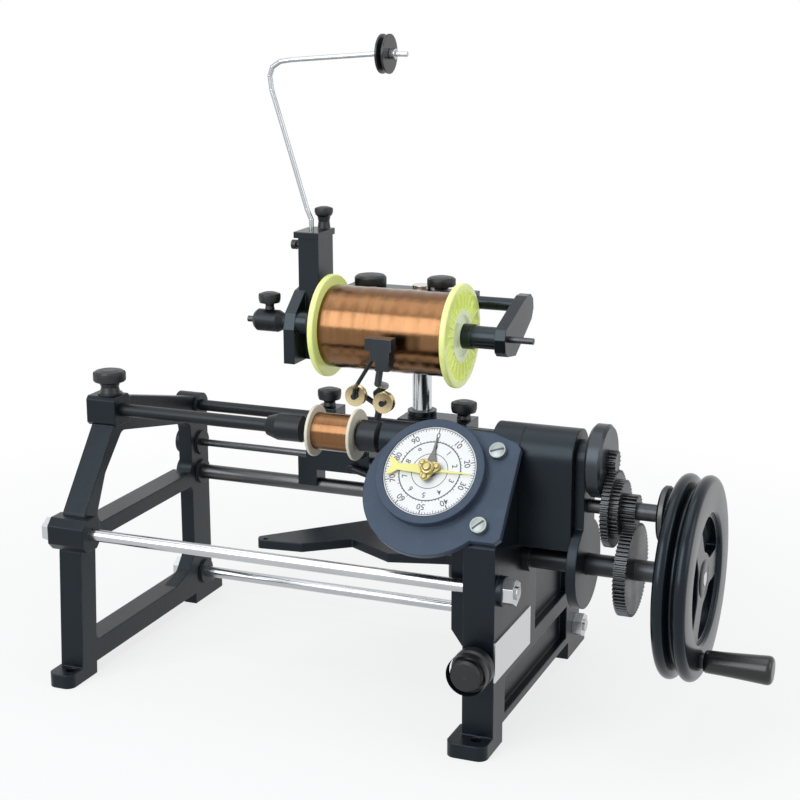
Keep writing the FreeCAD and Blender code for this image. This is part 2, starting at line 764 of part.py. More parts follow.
node(
    "right_frame",
    cut(
        "right_frame",
        right_body,
        span("right_bush_bore", bush_radius + D.gap, D.right_inner - 1, right_outer + 1, *AXIS),
        span("tube_bore", D.tube_radius + D.gap, tube_start, right_outer + 1, *INPUT),
        rod("bracket_bore", D.pin_radius + D.gap, 20, (*PIVOT, bracket_bottom - 2)),
        rod("leg_knob_bore", 4 + D.gap, 15, (D.leg_knob_x, -D.leg_front - 1, D.leg_knob_z), "Y"),
        *rod_holes("right", D.right_inner - 20, right_outer + 8),
        *[bolt_hole(f"right_bolt_hole_{n}", D.foot_bolt_x, s) for n, s in enumerate((-1, 1))],
    ),
)

# ---------------------------------------------------------------- tie rods, rails and nuts
front_start = left_outer - D.knee_boss_out - D.rod_end
low_start = left_outer - D.rod_end
node(
    "tie_rods",
    join(
        "tie_rods",
        span(
            "front_rod",
            D.tie_rod_radius,
            front_start,
            front_seat + D.rod_end,
            D.front_rod_y,
            D.front_rod_z,
        ),
        span(
            "low_rod",
            D.tie_rod_radius,
            low_start,
            right_outer + D.rod_end,
            D.rear_rod_y,
            D.low_rod_z,
        ),
    ),
)
for name, radius, z in (
    ("guide_rail", D.rail_radius, D.rail_z),
    ("traverse_rod", D.traverse_radius, D.traverse_z),
    ("top_rail", D.tie_rod_radius, D.top_rail_z),
):
    node(name, span(name, radius, left_outer, right_outer, D.rear_rod_y, z))


def nut(name, start, y, z):
    """A hexagon nut with its axis along X, bored for a tie rod."""
    half_side = D.nut_width * math.tan(math.pi / 6)
    corner = D.nut_width / math.cos(math.pi / 6)
    hexagon = prism(
        f"{name}_hexagon",
        [
            (D.nut_width, half_side),
            (0, corner),
            (-D.nut_width, half_side),
            (-D.nut_width, -half_side),
            (0, -corner),
            (D.nut_width, -half_side),
        ],
        D.nut_height,
        (start, y, z),
        "X",
    )
    return cut(name, hexagon, span(f"{name}_hole", rod_hole, start - 1, start + 20, y, z))


boss_out = left_outer - D.knee_boss_out
node(
    "tie_rod_nuts",
    join(
        "tie_rod_nuts",
        nut("nut_front_left", boss_out - D.nut_height, D.front_rod_y, D.front_rod_z),
        nut("nut_front_right", front_seat, D.front_rod_y, D.front_rod_z),
        nut("nut_low_left", left_outer - D.nut_height, D.rear_rod_y, D.low_rod_z),
        nut("nut_low_right", right_outer, D.rear_rod_y, D.low_rod_z),
    ),
)

# ---------------------------------------------------------------- tailstock
node(
    "tailstock_quill",
    join(
        "tailstock_quill",
        span("quill_bar", D.quill_radius, D.quill_left, D.centre_left - D.seat_gap, *AXIS),
        span(
            "quill_spigot",
            D.spigot_radius,
            D.centre_left - 2,
            D.centre_left + D.spigot_length,
            *AXIS,
        ),
    ),
)
node(
    "tail_centre",
    turned(
        "tail_centre",
        [
            (D.spigot_radius + D.gap, 0),
            (D.centre_radius - 2.8, 0),
            (D.centre_radius, 9),
            (D.centre_radius, D.centre_right - D.centre_left - 3),
            (D.centre_radius - 3, D.centre_right - D.centre_left),
            (4.5, D.centre_right - D.centre_left),
            (3.2, D.bobbin_left - D.seat_gap - D.centre_left),
            (0, D.bobbin_left - D.seat_gap - D.centre_left),
            (0, D.spigot_length + 1),
            (D.spigot_radius + D.gap, D.spigot_length + 1),
        ],
        (D.centre_left, *AXIS),
        "X",
    ),
)
boss_top = D.axis_z + D.quill_boss


def mushroom(name, head, neck, height, head_share, screw, screw_length, at, along="Z"):
    """A clamp knob: waisted neck, domed head and a plain screw below it."""
    shoulder = height * (1 - head_share)
    return turned(
        name,
        [
            (0, -screw_length),
            (screw, -screw_length),
            (screw, 0),
            (neck, 0),
            (neck * 0.86, shoulder * 0.5),
            (neck, shoulder * 0.85),
            (head * 0.94, shoulder),
            (head, shoulder + height * head_share * 0.25),
            (head, shoulder + height * head_share * 0.6),
            (head * 0.86, shoulder + height * head_share * 0.88),
            (head * 0.5, height),
            (0, height),
        ],
        at,
        along,
    )


clamp_seat = boss_top + D.seat_gap
clamp_screw = clamp_seat - D.axis_z - D.quill_radius - D.seat_gap
node(
    "quill_knob",
    join(
        "quill_knob",
        mushroom(
            "quill_knob_head",
            D.clamp_radius,
            D.clamp_neck,
            D.clamp_height,
            0.5,
            D.pin_radius,
            clamp_screw + D.washer_thick,
            (D.clamp_x, D.axis_y, clamp_seat + D.washer_thick),
        ),
        rod("quill_knob_collar", D.clamp_neck + 1.5, D.washer_thick, (D.clamp_x, D.axis_y, clamp_seat)),
    ),
)

# ---------------------------------------------------------------- spindle line
worm_middle = D.dial_x
pinion_left = D.step_left - 0.3
spindle_pinion = toothed(
    "spindle_pinion", D.spindle_teeth, D.spindle_right - pinion_left, (pinion_left, *AXIS)
)
node(
    "spindle",
    join(
        "spindle",
        span("arbor", D.arbor_radius, D.bobbin_left + 1, D.cone_right + 4, *AXIS),
        span("spindle_bar", D.spindle_radius, D.cone_right, pinion_left + 1, *AXIS),
        span(
            "worm",
            D.worm_radius,
            worm_middle - D.worm_length / 2,
            worm_middle + D.worm_length / 2,
            *AXIS,
        ),
        spindle_pinion,
    ),
)
cup_left = D.bobbin_right + D.seat_gap
node(
    "drive_cone",
    turned(
        "drive_cone",
        [
            (D.arbor_radius + D.gap, 0),
            (D.cone_radius - 3, 0),
            (D.cone_radius, 2.5),
            (D.cone_radius, D.cone_right - cup_left - 3),
            (D.cone_radius - 2.5, D.cone_right - cup_left),
            (D.arbor_radius + D.gap, D.cone_right - cup_left),
        ],
        (cup_left, *AXIS),
        "X",
    ),
)
bobbin_width = D.bobbin_right - D.bobbin_left
node(
    "bobbin",
    turned(
        "bobbin",
        [
            (D.arbor_radius + D.gap, 0),
            (D.bobbin_flange, 0),
            (D.bobbin_flange, D.bobbin_flange_thick),
            (D.bobbin_core, D.bobbin_flange_thick),
            (D.bobbin_core, bobbin_width - D.bobbin_flange_thick),
            (D.bobbin_flange, bobbin_width - D.bobbin_flange_thick),
            (D.bobbin_flange, bobbin_width),
            (D.arbor_radius + D.gap, bobbin_width),
        ],
        (D.bobbin_left, *AXIS),
        "X",
    ),
)


def coil(name, inner, outer, start, end, y, z):
    """Wound wire as a plain sleeve between two flanges."""
    return turned(
        name,
        [(inner, 0), (outer, 0), (outer, end - start), (inner, end - start)],
        (start, y, z),
        "X",
    )


node(
    "bobbin_wire",
    coil(
        "bobbin_wire",
        D.bobbin_core + D.gap,
        D.bobbin_coil,
        D.bobbin_left + D.bobbin_flange_thick,
        D.bobbin_right - D.bobbin_flange_thick,
        *AXIS,
    ),
)
node(
    "spindle_disc",
    turned(
        "spindle_disc",
        [
            (D.spindle_radius + D.gap, 0),
            (D.disc_radius - 2, 0),
            (D.disc_radius, 2),
            (D.disc_radius, D.disc_thick - 2),
            (D.disc_radius - 2, D.disc_thick),
            (D.spindle_radius + D.gap, D.disc_thick),
        ],
        (D.disc_left, *AXIS),
        "X",
    ),
)


def sleeve(name, inner, outer, start, end, y, z):
    hole = span(f"{name}_hole", inner, start - 1, end + 1, y, z)
    return cut(name, span(f"{name}_bar", outer, start, end, y, z), hole)


node(
    "spindle_bushes",
    join(
        "spindle_bushes",
        *[
            sleeve(f"bush_{n}", D.spindle_radius + D.gap, bush_radius, x, x + D.bush_length, *AXIS)
            for n, x in enumerate((D.sleeve_left, right_outer - D.bush_length))
        ],
    ),
)

# ---------------------------------------------------------------- headstock sleeve and dial drum
drum_back = -D.barrel_radius - D.worm_radius - D.plate_thick - D.drum_wall
drum_place = on_slope(D.dial_x, D.dial_s, drum_back)
drum_depth = slope_back - drum_back
node(
    "headstock",
    cut(
        "headstock",
        join(
            "headstock_body",
            span("sleeve_bar", D.sleeve_radius, D.sleeve_left, D.right_inner, *AXIS),
            rod("drum", D.drum_radius, drum_depth, drum_place, "dial"),
        ),
        rod(
            "drum_hollow",
            D.drum_radius - D.drum_wall,
            drum_depth,
            on_slope(D.dial_x, D.dial_s, drum_back + D.drum_wall),
            "dial",
        ),
        span("sleeve_bush_bore", bush_radius + D.gap, D.sleeve_left - 1, D.right_inner + 1, *AXIS),
        rod(
            "drum_shaft_bore",
            D.dial_shaft_radius + D.gap,
            D.drum_wall + 2,
            on_slope(D.dial_x, D.dial_s, drum_back - 1),
            "dial",
        ),
    ),
)

# ---------------------------------------------------------------- gear case, bearing plate, tube
case_width = D.case_right - right_outer
case_outer = join(
    "case_outer",
    span("case_barrel", D.barrel_radius, right_outer, D.case_right, *AXIS),
    block(
        "case_block",
        (right_outer, D.axis_y - D.barrel_radius, D.case_bottom),
        (D.case_right, D.axis_y + D.barrel_radius, D.axis_z),
    ),
)
case_reach = D.barrel_radius - D.case_wall
case_end = D.case_right - D.case_wall
node(
    "gear_case",
    cut(
        "gear_case",
        case_outer,
        span("case_hollow_top", case_reach, right_outer - 1, case_end, *AXIS),
        block(
            "case_hollow",
            (right_outer - 1, D.axis_y - case_reach, D.case_bottom + D.case_wall),
            (case_end, D.axis_y + case_reach, D.axis_z),
        ),
        span("case_spindle_hole", D.spindle_radius + D.gap, case_end - 1, D.case_right + 1, *AXIS),
        span("case_shaft_hole", D.shaft_radius + D.gap, case_end - 1, D.case_right + 1, *MIDDLE),
    ),
)
bearing_right = D.case_right + D.bearing_plate_thick
node(
    "bearing_plate",
    cut(
        "bearing_plate",
        join(
            "bearing_plate_body",
            span("bearing_low", D.bearing_plate_low, D.case_right, bearing_right, *INPUT),
            span("bearing_top", D.bearing_plate_top, D.case_right, bearing_right, *AXIS),
            block(
                "bearing_web",
                (D.case_right, D.axis_y - D.bearing_plate_top, D.input_z),
                (bearing_right, D.axis_y + D.bearing_plate_top, D.axis_z),
            ),
        ),
        span("bearing_a", D.spindle_radius + D.gap, D.case_right - 1, bearing_right + 1, *AXIS),
        span("bearing_b", D.shaft_radius + D.gap, D.case_right - 1, bearing_right + 1, *MIDDLE),
        span("bearing_c", D.tube_radius + D.gap, D.case_right - 1, bearing_right + 1, *INPUT),
    ),
)
node(
    "input_tube",
    cut(
        "input_tube",
        join(
            "input_tube_body",
            span("tube_bar", D.tube_radius, tube_start + 0.5, D.tube_right, *INPUT),
            span("tube_flange_disc", D.tube_flange, right_outer, right_outer + 5, *INPUT),
        ),
        span("tube_hole", D.shaft_radius + D.gap, tube_start, D.tube_right + 1, *INPUT),
    ),
)

# ---------------------------------------------------------------- gear train
step_two = D.step_left + D.step_thick
step_three = D.step_left + D.step_thick * 2
cluster_right = D.input_gear_left + D.input_gear_thick
large_gear = toothed("large_gear", D.large_teeth, D.step_thick, (D.step_left, *MIDDLE))
spare_gear = toothed("spare_gear", D.spare_teeth, D.step_thick, (step_two, *MIDDLE))
middle_pinion = turned_gear(
    toothed("middle_pinion", D.pinion_teeth, cluster_right - step_three, (step_three, *MIDDLE)),
    (1, D.pinion_teeth),
)
feed_end = D.feed_knob_left + D.feed_knob_thick
node(
    "counter_shaft",
    turned(
        "counter_shaft",
        [
            (0, 0),
            (D.shaft_radius, 0),
            (D.shaft_radius, D.feed_knob_left - case_end + 6),
            (D.feed_knob_radius - 1.5, D.feed_knob_left - case_end + 6),
            (D.feed_knob_radius, D.feed_knob_left - case_end + 7.5),
            (D.feed_knob_radius, feed_end - case_end + 4.5),
            (D.feed_knob_radius - 1.5, feed_end - case_end + 6),
            (0, feed_end - case_end + 6),
        ],
        (case_end - 6, *MIDDLE),
        "X",
    ),
)
node(
    "step_gear",
    cut(
        "step_gear",
        join(
            "step_gear_body",
            large_gear,
            spare_gear,
            middle_pinion,
            span("middle_hub", D.gear_hub - 1.4, cluster_right, D.feed_knob_left, *MIDDLE),
        ),
        span("step_gear_bore", D.shaft_radius + D.gap, D.step_left - 1, feed_end, *MIDDLE),
    ),
)
hub_right = D.wheel_left - 2
node(
    "input_gear",
    cut(
        "input_gear",
        join(
            "input_gear_body",
            toothed("input_teeth_disc", D.input_teeth, D.input_gear_thick, (D.input_gear_left, *INPUT)),
            span("input_gear_hub", D.gear_hub, D.input_gear_left, hub_right, *INPUT),
        ),
        span("input_gear_hole", D.shaft_radius + D.gap, D.tube_right, hub_right + 1, *INPUT),
    ),
)
web_right = D.wheel_right - D.web_sink
wheel_end = web_right + 1.2
node("input_shaft", span("input_shaft", D.shaft_radius, tube_start + 0.5, wheel_end, *INPUT))

# ---------------------------------------------------------------- handwheel and crank
wheel_width = D.wheel_right - D.wheel_left
wheel_middle = (D.wheel_left + D.wheel_right) / 2
rim_soft = Size.of(2.2)
rim = turned(
    "wheel_rim",
    [
        (D.wheel_inner, rim_soft * 1.2),
        (D.wheel_inner + rim_soft, 1),
        (D.wheel_radius - rim_soft * 2, 0),
        (D.wheel_radius - rim_soft / 2, rim_soft),
        (D.wheel_radius, rim_soft * 2),
        (D.wheel_radius, wheel_width / 2 - D.groove_half - 1.5),
        (D.wheel_radius - 1.5, wheel_width / 2 - D.groove_half),
        (D.wheel_radius - D.groove_depth, wheel_width / 2 - 1),
        (D.wheel_radius - D.groove_depth, wheel_width / 2 + 1),
        (D.wheel_radius - 1.5, wheel_width / 2 + D.groove_half),
        (D.wheel_radius, wheel_width / 2 + D.groove_half + 1.5),
        (D.wheel_radius, wheel_width - rim_soft * 2),
        (D.wheel_radius - rim_soft / 2, wheel_width - rim_soft),
        (D.wheel_radius - rim_soft * 2, wheel_width),
        (D.wheel_inner + rim_soft, wheel_width - 1),
        (D.wheel_inner, wheel_width - rim_soft * 1.2),
    ],
    (D.wheel_left, *INPUT),
    "X",
)
web = span("wheel_web", D.wheel_inner + 2, web_right - D.spoke_thick, web_right, *INPUT)
window_ring = cut(
    "window_ring",
    span("window_ring_outer", D.window_outer, D.wheel_left, D.wheel_right, *INPUT),
    span("window_ring_inner", D.window_inner, D.wheel_left - 1, D.wheel_right + 1, *INPUT),
)


def window(name, middle):
    """A kidney-shaped window of the web; middle is its angle up from the back, in degrees."""

    def on_wheel(radius, angle):
        return radius * cosine(Size.of(angle)), radius * sine(Size.of(angle))

    apex = on_wheel(D.spoke_width / 2 / sine(Size.of(60)), middle)
    corners = [on_wheel(Size.of(80), middle + turn) for turn in (-60, 0, 60)]
    wedge = prism(
        f"{name}_wedge",
        [apex] + [(apex[0] + u, apex[1] + v) for u, v in corners],
        wheel_width,
        (D.wheel_left, *INPUT),
        "X",
    )
    slot = doc.addObject("Part::MultiCommon", name)
    slot.Shapes = [window_ring, wedge]
    return rounded(f"{name}_round", slot, 6, along_x)


windows = [window(f"wheel_window_{n}", 60 + 120 * n) for n in range(3)]
crank_y = D.axis_y - D.crank_radius * sine(D.crank_lean)
crank_z = D.input_z - D.crank_radius * cosine(D.crank_lean)
node(
    "handwheel",
    cut(
        "handwheel",
        join(
            "handwheel_body",
            rim,
            cut("wheel_web_open", web, *windows),
            span("wheel_hub_bar", D.wheel_hub, hub_right + 0.3, wheel_end, *INPUT),
        ),
        span("wheel_hole", D.shaft_radius + D.gap, hub_right, wheel_end + 1, *INPUT),
        span(
            "crank_hole",
            D.crank_pin_radius + D.gap,
            wheel_middle + 6,
            D.wheel_right + 1,
            crank_y,
            crank_z,
        ),
    ),
)
handle_left = D.wheel_right + 1.5
handle_right = handle_left + D.handle_length
node(
    "crank_pin",
    join(
        "crank_pin",
        span("pin_bar", D.crank_pin_radius, wheel_middle + 6.5, handle_right - 6, crank_y, crank_z),
        span(
            "pin_collar",
            D.crank_pin_radius + 1.8,
            D.wheel_right,
            handle_left - D.seat_gap,
            crank_y,
            crank_z,
        ),
    ),
)
node(
    "crank_handle",
    turned(
        "crank_handle",
        [
            (D.crank_pin_radius + D.gap, 0),
            (D.handle_small, 0),
            (D.handle_small + 0.6, D.handle_length * 0.35),
            (D.handle_large - 0.6, D.handle_length * 0.8),
            (D.handle_large, D.handle_length * 0.92),
            (D.handle_large - 1.6, D.handle_length * 0.98),
            (D.handle_large - 4, D.handle_length),
            (0, D.handle_length),
            (0, D.handle_length - 5),
            (D.crank_pin_radius + D.gap, D.handle_length - 5),
        ],
        (handle_left, crank_y, crank_z),
        "X",
    ),
)

# ---------------------------------------------------------------- dial
square_left = D.plate_disc_x
plate_body = join(
    "dial_plate_body",
    rod(
        "plate_disc",
        D.plate_disc_radius,
        D.plate_thick,
        on_slope(D.plate_disc_x, D.plate_disc_s, slope_back),
        "dial",
    ),
    prism(
        "plate_square",
        [
            (square_left, D.plate_low - 12),
            (square_left + 26, D.plate_low - 4),
            (square_left + 34, D.plate_low),
            (D.plate_right - 4, D.plate_low),
            (D.plate_right, D.plate_low + 4),
            (D.plate_right, -2),
            (D.plate_right - 4, 2),
            (square_left + 36, 8),
            (square_left, 10),
        ],
        D.plate_thick,
        on_slope(0, 0, slope_back),
        "dial",
    ),
    rod("dial_ring", D.ring_radius, D.ring_height, on_slope(D.dial_x, D.dial_s, -0.5), "dial"),
)
node(
    "dial_plate",
    cut(
        "dial_plate",
        plate_body,
        rod(
            "dial_recess",
            D.dial_radius + D.gap,
            D.ring_height,
            on_slope(D.dial_x, D.dial_s, 0),
            "dial",
        ),
        rod(
            "dial_plate_bore",
            D.short_sleeve + D.gap,
            20,
            on_slope(D.dial_x, D.dial_s, slope_back - 1),
            "dial",
        ),
    ),
)
node(
    "dial_face",
    cut(
        "dial_face",
        rod("face_disc", D.dial_radius, D.face_height, on_slope(D.dial_x, D.dial_s, 0), "dial"),
        rod("face_bore", D.short_sleeve + D.gap, 20, on_slope(D.dial_x, D.dial_s, -1), "dial"),
    ),
)
short_level = D.face_height + D.hand_gap
long_level = short_level + D.hand_thick + D.seat_gap
node(
    "short_pointer",
    cut(
        "short_pointer",
        join(
            "short_pointer_body",
            rod(
                "short_sleeve_bar",
                D.short_sleeve,
                short_level - slope_back + D.hand_thick - 1,
                on_slope(D.dial_x, D.dial_s, slope_back + 1),
                "dial",
            ),
            prism(
                "short_blade",
                [(-3.4, -8), (3.4, -8), (2.6, 6), (4.6, 19), (0, 27), (-4.6, 19), (-2.6, 6)],
                D.hand_thick,
                on_slope(D.dial_x, D.dial_s, short_level),
                "dial",
            ),
        ),
        rod(
            "short_bore",
            D.dial_shaft_radius + D.gap,
            40,
            on_slope(D.dial_x, D.dial_s, slope_back - 5),
            "dial",
        ),
    ),
)
node(
    "long_pointer",
    cut(
        "long_pointer",
        join(
            "long_pointer_body",
            prism(
                "long_blade",
                [
                    (11, 4.5),
                    (24, 2.4),
                    (33, 0),
                    (24, -2.4),
                    (11, -4.5),
                    (-6, -5),
                    (-22, -8.5),
                    (-32, -7.5),
                    (-26.5, 0),
                    (-32, 7.5),
                    (-22, 8.5),
                    (-6, 5),
                ],
                D.hand_thick,
                on_slope(D.dial_x, D.dial_s, long_level),
                "dial",
            ),
            rod(
                "brass_hub",
                D.hub_radius,
                D.hub_height,
                on_slope(D.dial_x, D.dial_s, long_level),
                "dial",
            ),
        ),
        rod(
            "long_bore",
            D.dial_shaft_radius + D.gap,
            30,
            on_slope(D.dial_x, D.dial_s, long_level - 5),
            "dial",
        ),
    ),
)
wheel_level = (D.plate_y - D.axis_y) * sine(D.plate_lean)
wheel_level = wheel_level + (D.axis_z - D.plate_z) * cosine(D.plate_lean)
worm_distance = (D.plate_y - D.axis_y) * cosine(D.plate_lean)
worm_distance = worm_distance + (D.plate_z - D.axis_z) * sine(D.plate_lean) + D.dial_s
worm_wheel_radius = -worm_distance - D.worm_radius - 0.2
node(
    "dial_shaft",
    join(
        "dial_shaft",
        rod(
            "dial_shaft_bar",
            D.dial_shaft_radius,
            long_level + D.hub_height + 1.5 - drum_back,
            on_slope(D.dial_x, D.dial_s, drum_back),
            "dial",
        ),
        rod(
            "worm_wheel",
            worm_wheel_radius,
            D.worm_wheel_thick,
            on_slope(D.dial_x, D.dial_s, wheel_level - D.worm_wheel_thick / 2),
            "dial",
        ),
    ),
)


def dome_screw(name, at_x, down):
    """A cheese-head screw on the dial plate, its shank stopped in the plate."""
    return rod(name, D.plate_screw_radius, 4.2, on_slope(at_x, down, 0), "dial")


node(
    "plate_screws",
    join(
        "plate_screws",
        dome_screw("plate_screw_top", D.plate_right - 15.6, -4 - D.plate_screw_radius * 0.4),
        dome_screw("plate_screw_low", D.plate_right - 16.6, D.plate_low + 11),
    ),
)

# ---------------------------------------------------------------- name plate and leg knob
node(
    "name_plate",
    block(
        "name_plate",
        (right_outer, -D.leg_front, D.name_plate_z),
        (
            right_outer + D.name_plate_thick,
            -D.leg_front + D.name_plate_length,
            D.name_plate_z + D.name_plate_height,
        ),
    ),
)
node(
    "leg_knob",
    turned(
        "leg_knob",
        [
            (0, -12),
            (4, -12),
            (4, 0),
            (D.leg_knob_radius - 6, 0),
            (D.leg_knob_radius - 6, 3),
            (D.leg_knob_radius - 1.5, 4),
            (D.leg_knob_radius, 6),
            (D.leg_knob_radius, 12.5),
            (D.leg_knob_radius - 1.5, 14.5),
            (D.leg_knob_cap - 2.5, 16),
            (D.leg_knob_cap - 2.5, 19),
            (D.leg_knob_cap - 0.8, 19.8),
            (D.leg_knob_cap, 21.5),
            (D.leg_knob_cap, 24.5),
            (D.leg_knob_cap - 1.6, 26.5),
            (0, 27),
        ],
        (D.leg_knob_x, -D.leg_front - D.seat_gap, D.leg_knob_z),
        "-Y",
    ),
)

# ---------------------------------------------------------------- traverse lever
lever_top = D.lever_bottom + D.lever_thick
LINK_PIN = (D.lever_x, D.lever_y + D.lever_arm)
blade = prism(
    "lever_blade",
    [
        (-D.lever_reach, 4 - D.lever_droop),
        (3 - D.lever_reach, -D.lever_droop - 4),
        (-D.lever_reach * 0.76, -D.lever_droop),
        (-D.lever_reach * 0.565, -3),
        (-D.lever_reach * 0.325, 3 - D.lever_droop),
        (-10, -13),
        (10, -12),
        (14, 0),
        (8, D.lever_arm),
        (2, D.lever_arm + 7),
        (-6, D.lever_arm + 7),
        (-D.lever_reach * 0.59, D.lever_arm - 22),
    ],
    D.lever_thick,
    (*PIVOT, D.lever_bottom),
)
upright = runs_along(Vector(0, 0, 1))


def lever_tip(edge):
    return upright(edge) and edge.CenterOfMass.x < (D.lever_x - D.lever_reach + 5).number


link_eye_height = 4
node(
    "traverse_lever",
    cut(
        "traverse_lever",
        join(
            "lever_body",
            rounded("lever_blade_round", blade, 3.5, lever_tip),
            rod("link_pin", D.link_pin_radius, D.lever_thick + 5.2, (*LINK_PIN, D.lever_bottom)),
        ),
        rod("lever_bore", D.pin_radius + D.gap, 30, (*PIVOT, D.lever_bottom - 2)),
        rod("finger_hole", 2, 30, (D.lever_x - D.lever_reach + 8, D.lever_y - D.lever_droop, 90)),
    ),
)
bolt_foot = bracket_bottom - 3
node(
    "lever_bolt",
    join(
        "lever_bolt",
        rod("bolt_bar", D.pin_radius, lever_top + 2 - bolt_foot, (*PIVOT, bolt_foot)),
        rod("bolt_head", D.pin_radius * 2, 3.5, (*PIVOT, lever_top + D.seat_gap)),
        rod("bolt_nut", D.pin_radius * 2, 3, (*PIVOT, bolt_foot)),
    ),
)

# ---------------------------------------------------------------- traverse carriage
hook_left = D.carriage_knob_x - 10
hook_right = D.carriage_knob_x + 10
hook_top = D.top_rail_z + 10.5
beam_top = D.traverse_z + 14.6
beam_low = (D.block_left + 9, D.carriage_front, D.traverse_z - 9.4)
beam_high = (D.carriage_right, D.carriage_back, beam_top)
carriage_body = join(
    "carriage_body",
    block(
        "carriage_foot",
        (D.block_left, D.carriage_front + 3, D.rail_z + 1.5),
        (D.block_right, D.carriage_back - 3, D.traverse_z),
    ),
    block("carriage_beam", beam_low, beam_high),
    block(
        "carriage_hook",
        (hook_left, D.carriage_front + 2, beam_top - 1),
        (hook_right, D.carriage_back - 2, hook_top),
    ),
)
node(
    "carriage",
    cut(
        "carriage",
        carriage_body,
        span("carriage_rail_bore", D.rail_radius + D.gap, -100, 20, D.rear_rod_y, D.rail_z),
        span("carriage_rod_bore", D.traverse_radius + D.gap, -100, 20, D.rear_rod_y, D.traverse_z),
        span("carriage_hook_bore", rod_hole, -100, 20, D.rear_rod_y, D.top_rail_z),
    ),
)
node(
    "carriage_knob",
    mushroom(
        "carriage_knob",
        D.carriage_knob_radius,
        5.5,
        15,
        0.62,
        2.5,
        0.5,
        (D.carriage_knob_x, D.rear_rod_y, hook_top + 0.8),
    ),
)


def strut(name, radius, start, end):
    """A round bar between two points, with a slightly larger ball at its start at the bend."""
    low = Vector(*[Size.of(c).number for c in start])
    high = Vector(*[Size.of(c).number for c in end])
    size = Size.of(radius).number
    bar = Part.makeCylinder(size, (high - low).Length, low, high - low)
    piece = doc.addObject("Part::Feature", name)
    piece.Shape = bar.fuse(Part.makeSphere(size * 1.04, low))
    return piece


eye_low = lever_top + D.seat_gap
eye_radius = D.link_pin_radius + D.link_slack + 3
link_x = D.carriage_right - 14.5
link_z = D.traverse_z - 4
node(
    "traverse_link",
    cut(
        "traverse_link",
        join(
            "link_body",
            rod("link_foot", 3.6, 6, (link_x, D.carriage_front, link_z), "-Y"),
            strut(
                "link_bar",
                2.6,
                (link_x, D.carriage_front - 3.5, link_z),
                (D.lever_x - 7, D.lever_y + D.lever_arm + 0.8, eye_low + 2.6),
            ),
            rod("link_eye", eye_radius, link_eye_height, (*LINK_PIN, eye_low)),
        ),
        rod(
            "link_eye_hole",
            D.link_pin_radius + D.link_slack,
            20,
            (D.lever_x, D.lever_y + D.lever_arm - 0.6, eye_low - 5),
        ),
        block(
            "link_trim",
            (D.lever_x - 40, D.lever_y + D.lever_arm - 20, eye_low - 5),
            (D.lever_x + 20, D.lever_y + D.lever_arm + 20, eye_low),
        ),
    ),
)
felt_middle = D.felt_y + D.felt_depth / 2
guide_path = [
    (D.carriage_right - 7, D.carriage_front + 2, D.traverse_z + 6.6),
    (D.stem_x - 10, D.stem_y + 16, D.traverse_z + 28),
    (D.stem_x, D.stem_y + 4, D.pulley_right_z - 12),
    (D.stem_x - 1, D.stem_y + 2, D.pulley_right_z + 4),
    (D.stem_x + 7, D.stem_y + 1, D.pulley_right_z + 11),
    (D.stem_x + 16, felt_middle + 16, D.felt_z - 15),
    (D.felt_x + D.felt_width / 2, felt_middle, D.felt_z + 2),
]
guide_bars = [
    strut(f"guide_bar_{n}", D.stem_radius, start, end)
    for n, (start, end) in enumerate(zip(guide_path, guide_path[1:]))
]
pulley_back = D.pulley_y + D.pulley_thick + D.seat_gap
pins = []
for side, x, z in (
    ("left", D.pulley_left_x, D.pulley_left_z),
    ("right", D.pulley_right_x, D.pulley_right_z),
):
    pin_front = D.pulley_y - 2.4
    arm_end = (D.stem_x, D.stem_y + 2, D.pulley_right_z - 6)
    pins.append(rod(f"{side}_pulley_pin", 1.5, D.stem_y - pin_front, (x, pin_front, z), "Y"))
    pins.append(rod(f"{side}_pulley_cap", 2.6, 2.1, (x, pin_front, z), "Y"))
    pins.append(rod(f"{side}_pulley_boss", 3.4, D.stem_y - pulley_back, (x, pulley_back, z), "Y"))
    pins.append(strut(f"{side}_pulley_arm", 2.2, (x, D.stem_y - 1, z), arm_end))
wire_path = [
    (D.pulley_left_x, D.pulley_y - 1.6, D.pulley_left_z),
    (D.pulley_left_x + 2, D.pulley_y - 4, D.pulley_left_z + 8),
    (D.felt_x - 13, felt_middle + 12.5, D.felt_z - 15),
    (D.felt_x + 6, felt_middle, D.felt_z + 10),
]
felt_wires = [
    strut(f"felt_leg_{n}", 1.6, start, end)
    for n, (start, end) in enumerate(zip(wire_path, wire_path[1:]))
]
felt_steps = [
    block(
        f"felt_step_{n}",
        (D.felt_x + left, D.felt_y, D.felt_z + low),
        (D.felt_x + D.felt_width - right, D.felt_y + D.felt_depth, D.felt_z + D.felt_height - drop),
    )
    for n, (left, right, low, drop) in enumerate(((0, 0, 15.5, 0), (4, 1.5, 7.5, 9), (8.5, 2, 0, 17)))
]
node(
    "guide_arm",
    cut(
        "guide_arm",
        join(
            "guide_arm_body",
            *guide_bars,
            *pins,
            *felt_wires,
            *felt_steps,
        ),
        block("carriage_clear", beam_low, beam_high),
    ),
)


def grooved(name, radius, bore, thickness, depth, at, along):
    """A small grooved pulley."""
    return turned(
        name,
        [
            (bore, 0),
            (radius, 0),
            (radius, thickness * 0.2),
            (radius - depth, thickness * 0.5),
            (radius, thickness * 0.8),
            (radius, thickness),
            (bore, thickness),
        ],
        at,
        along,
    )


for side, x, z in (
    ("left", D.pulley_left_x, D.pulley_left_z),
    ("right", D.pulley_right_x, D.pulley_right_z),
):
    name = f"{side}_guide_pulley"
    spot = (x, D.pulley_y, z)
    node(name, grooved(name, D.pulley_radius, 1.5 + D.gap, D.pulley_thick, 2.5, spot, "Y"))

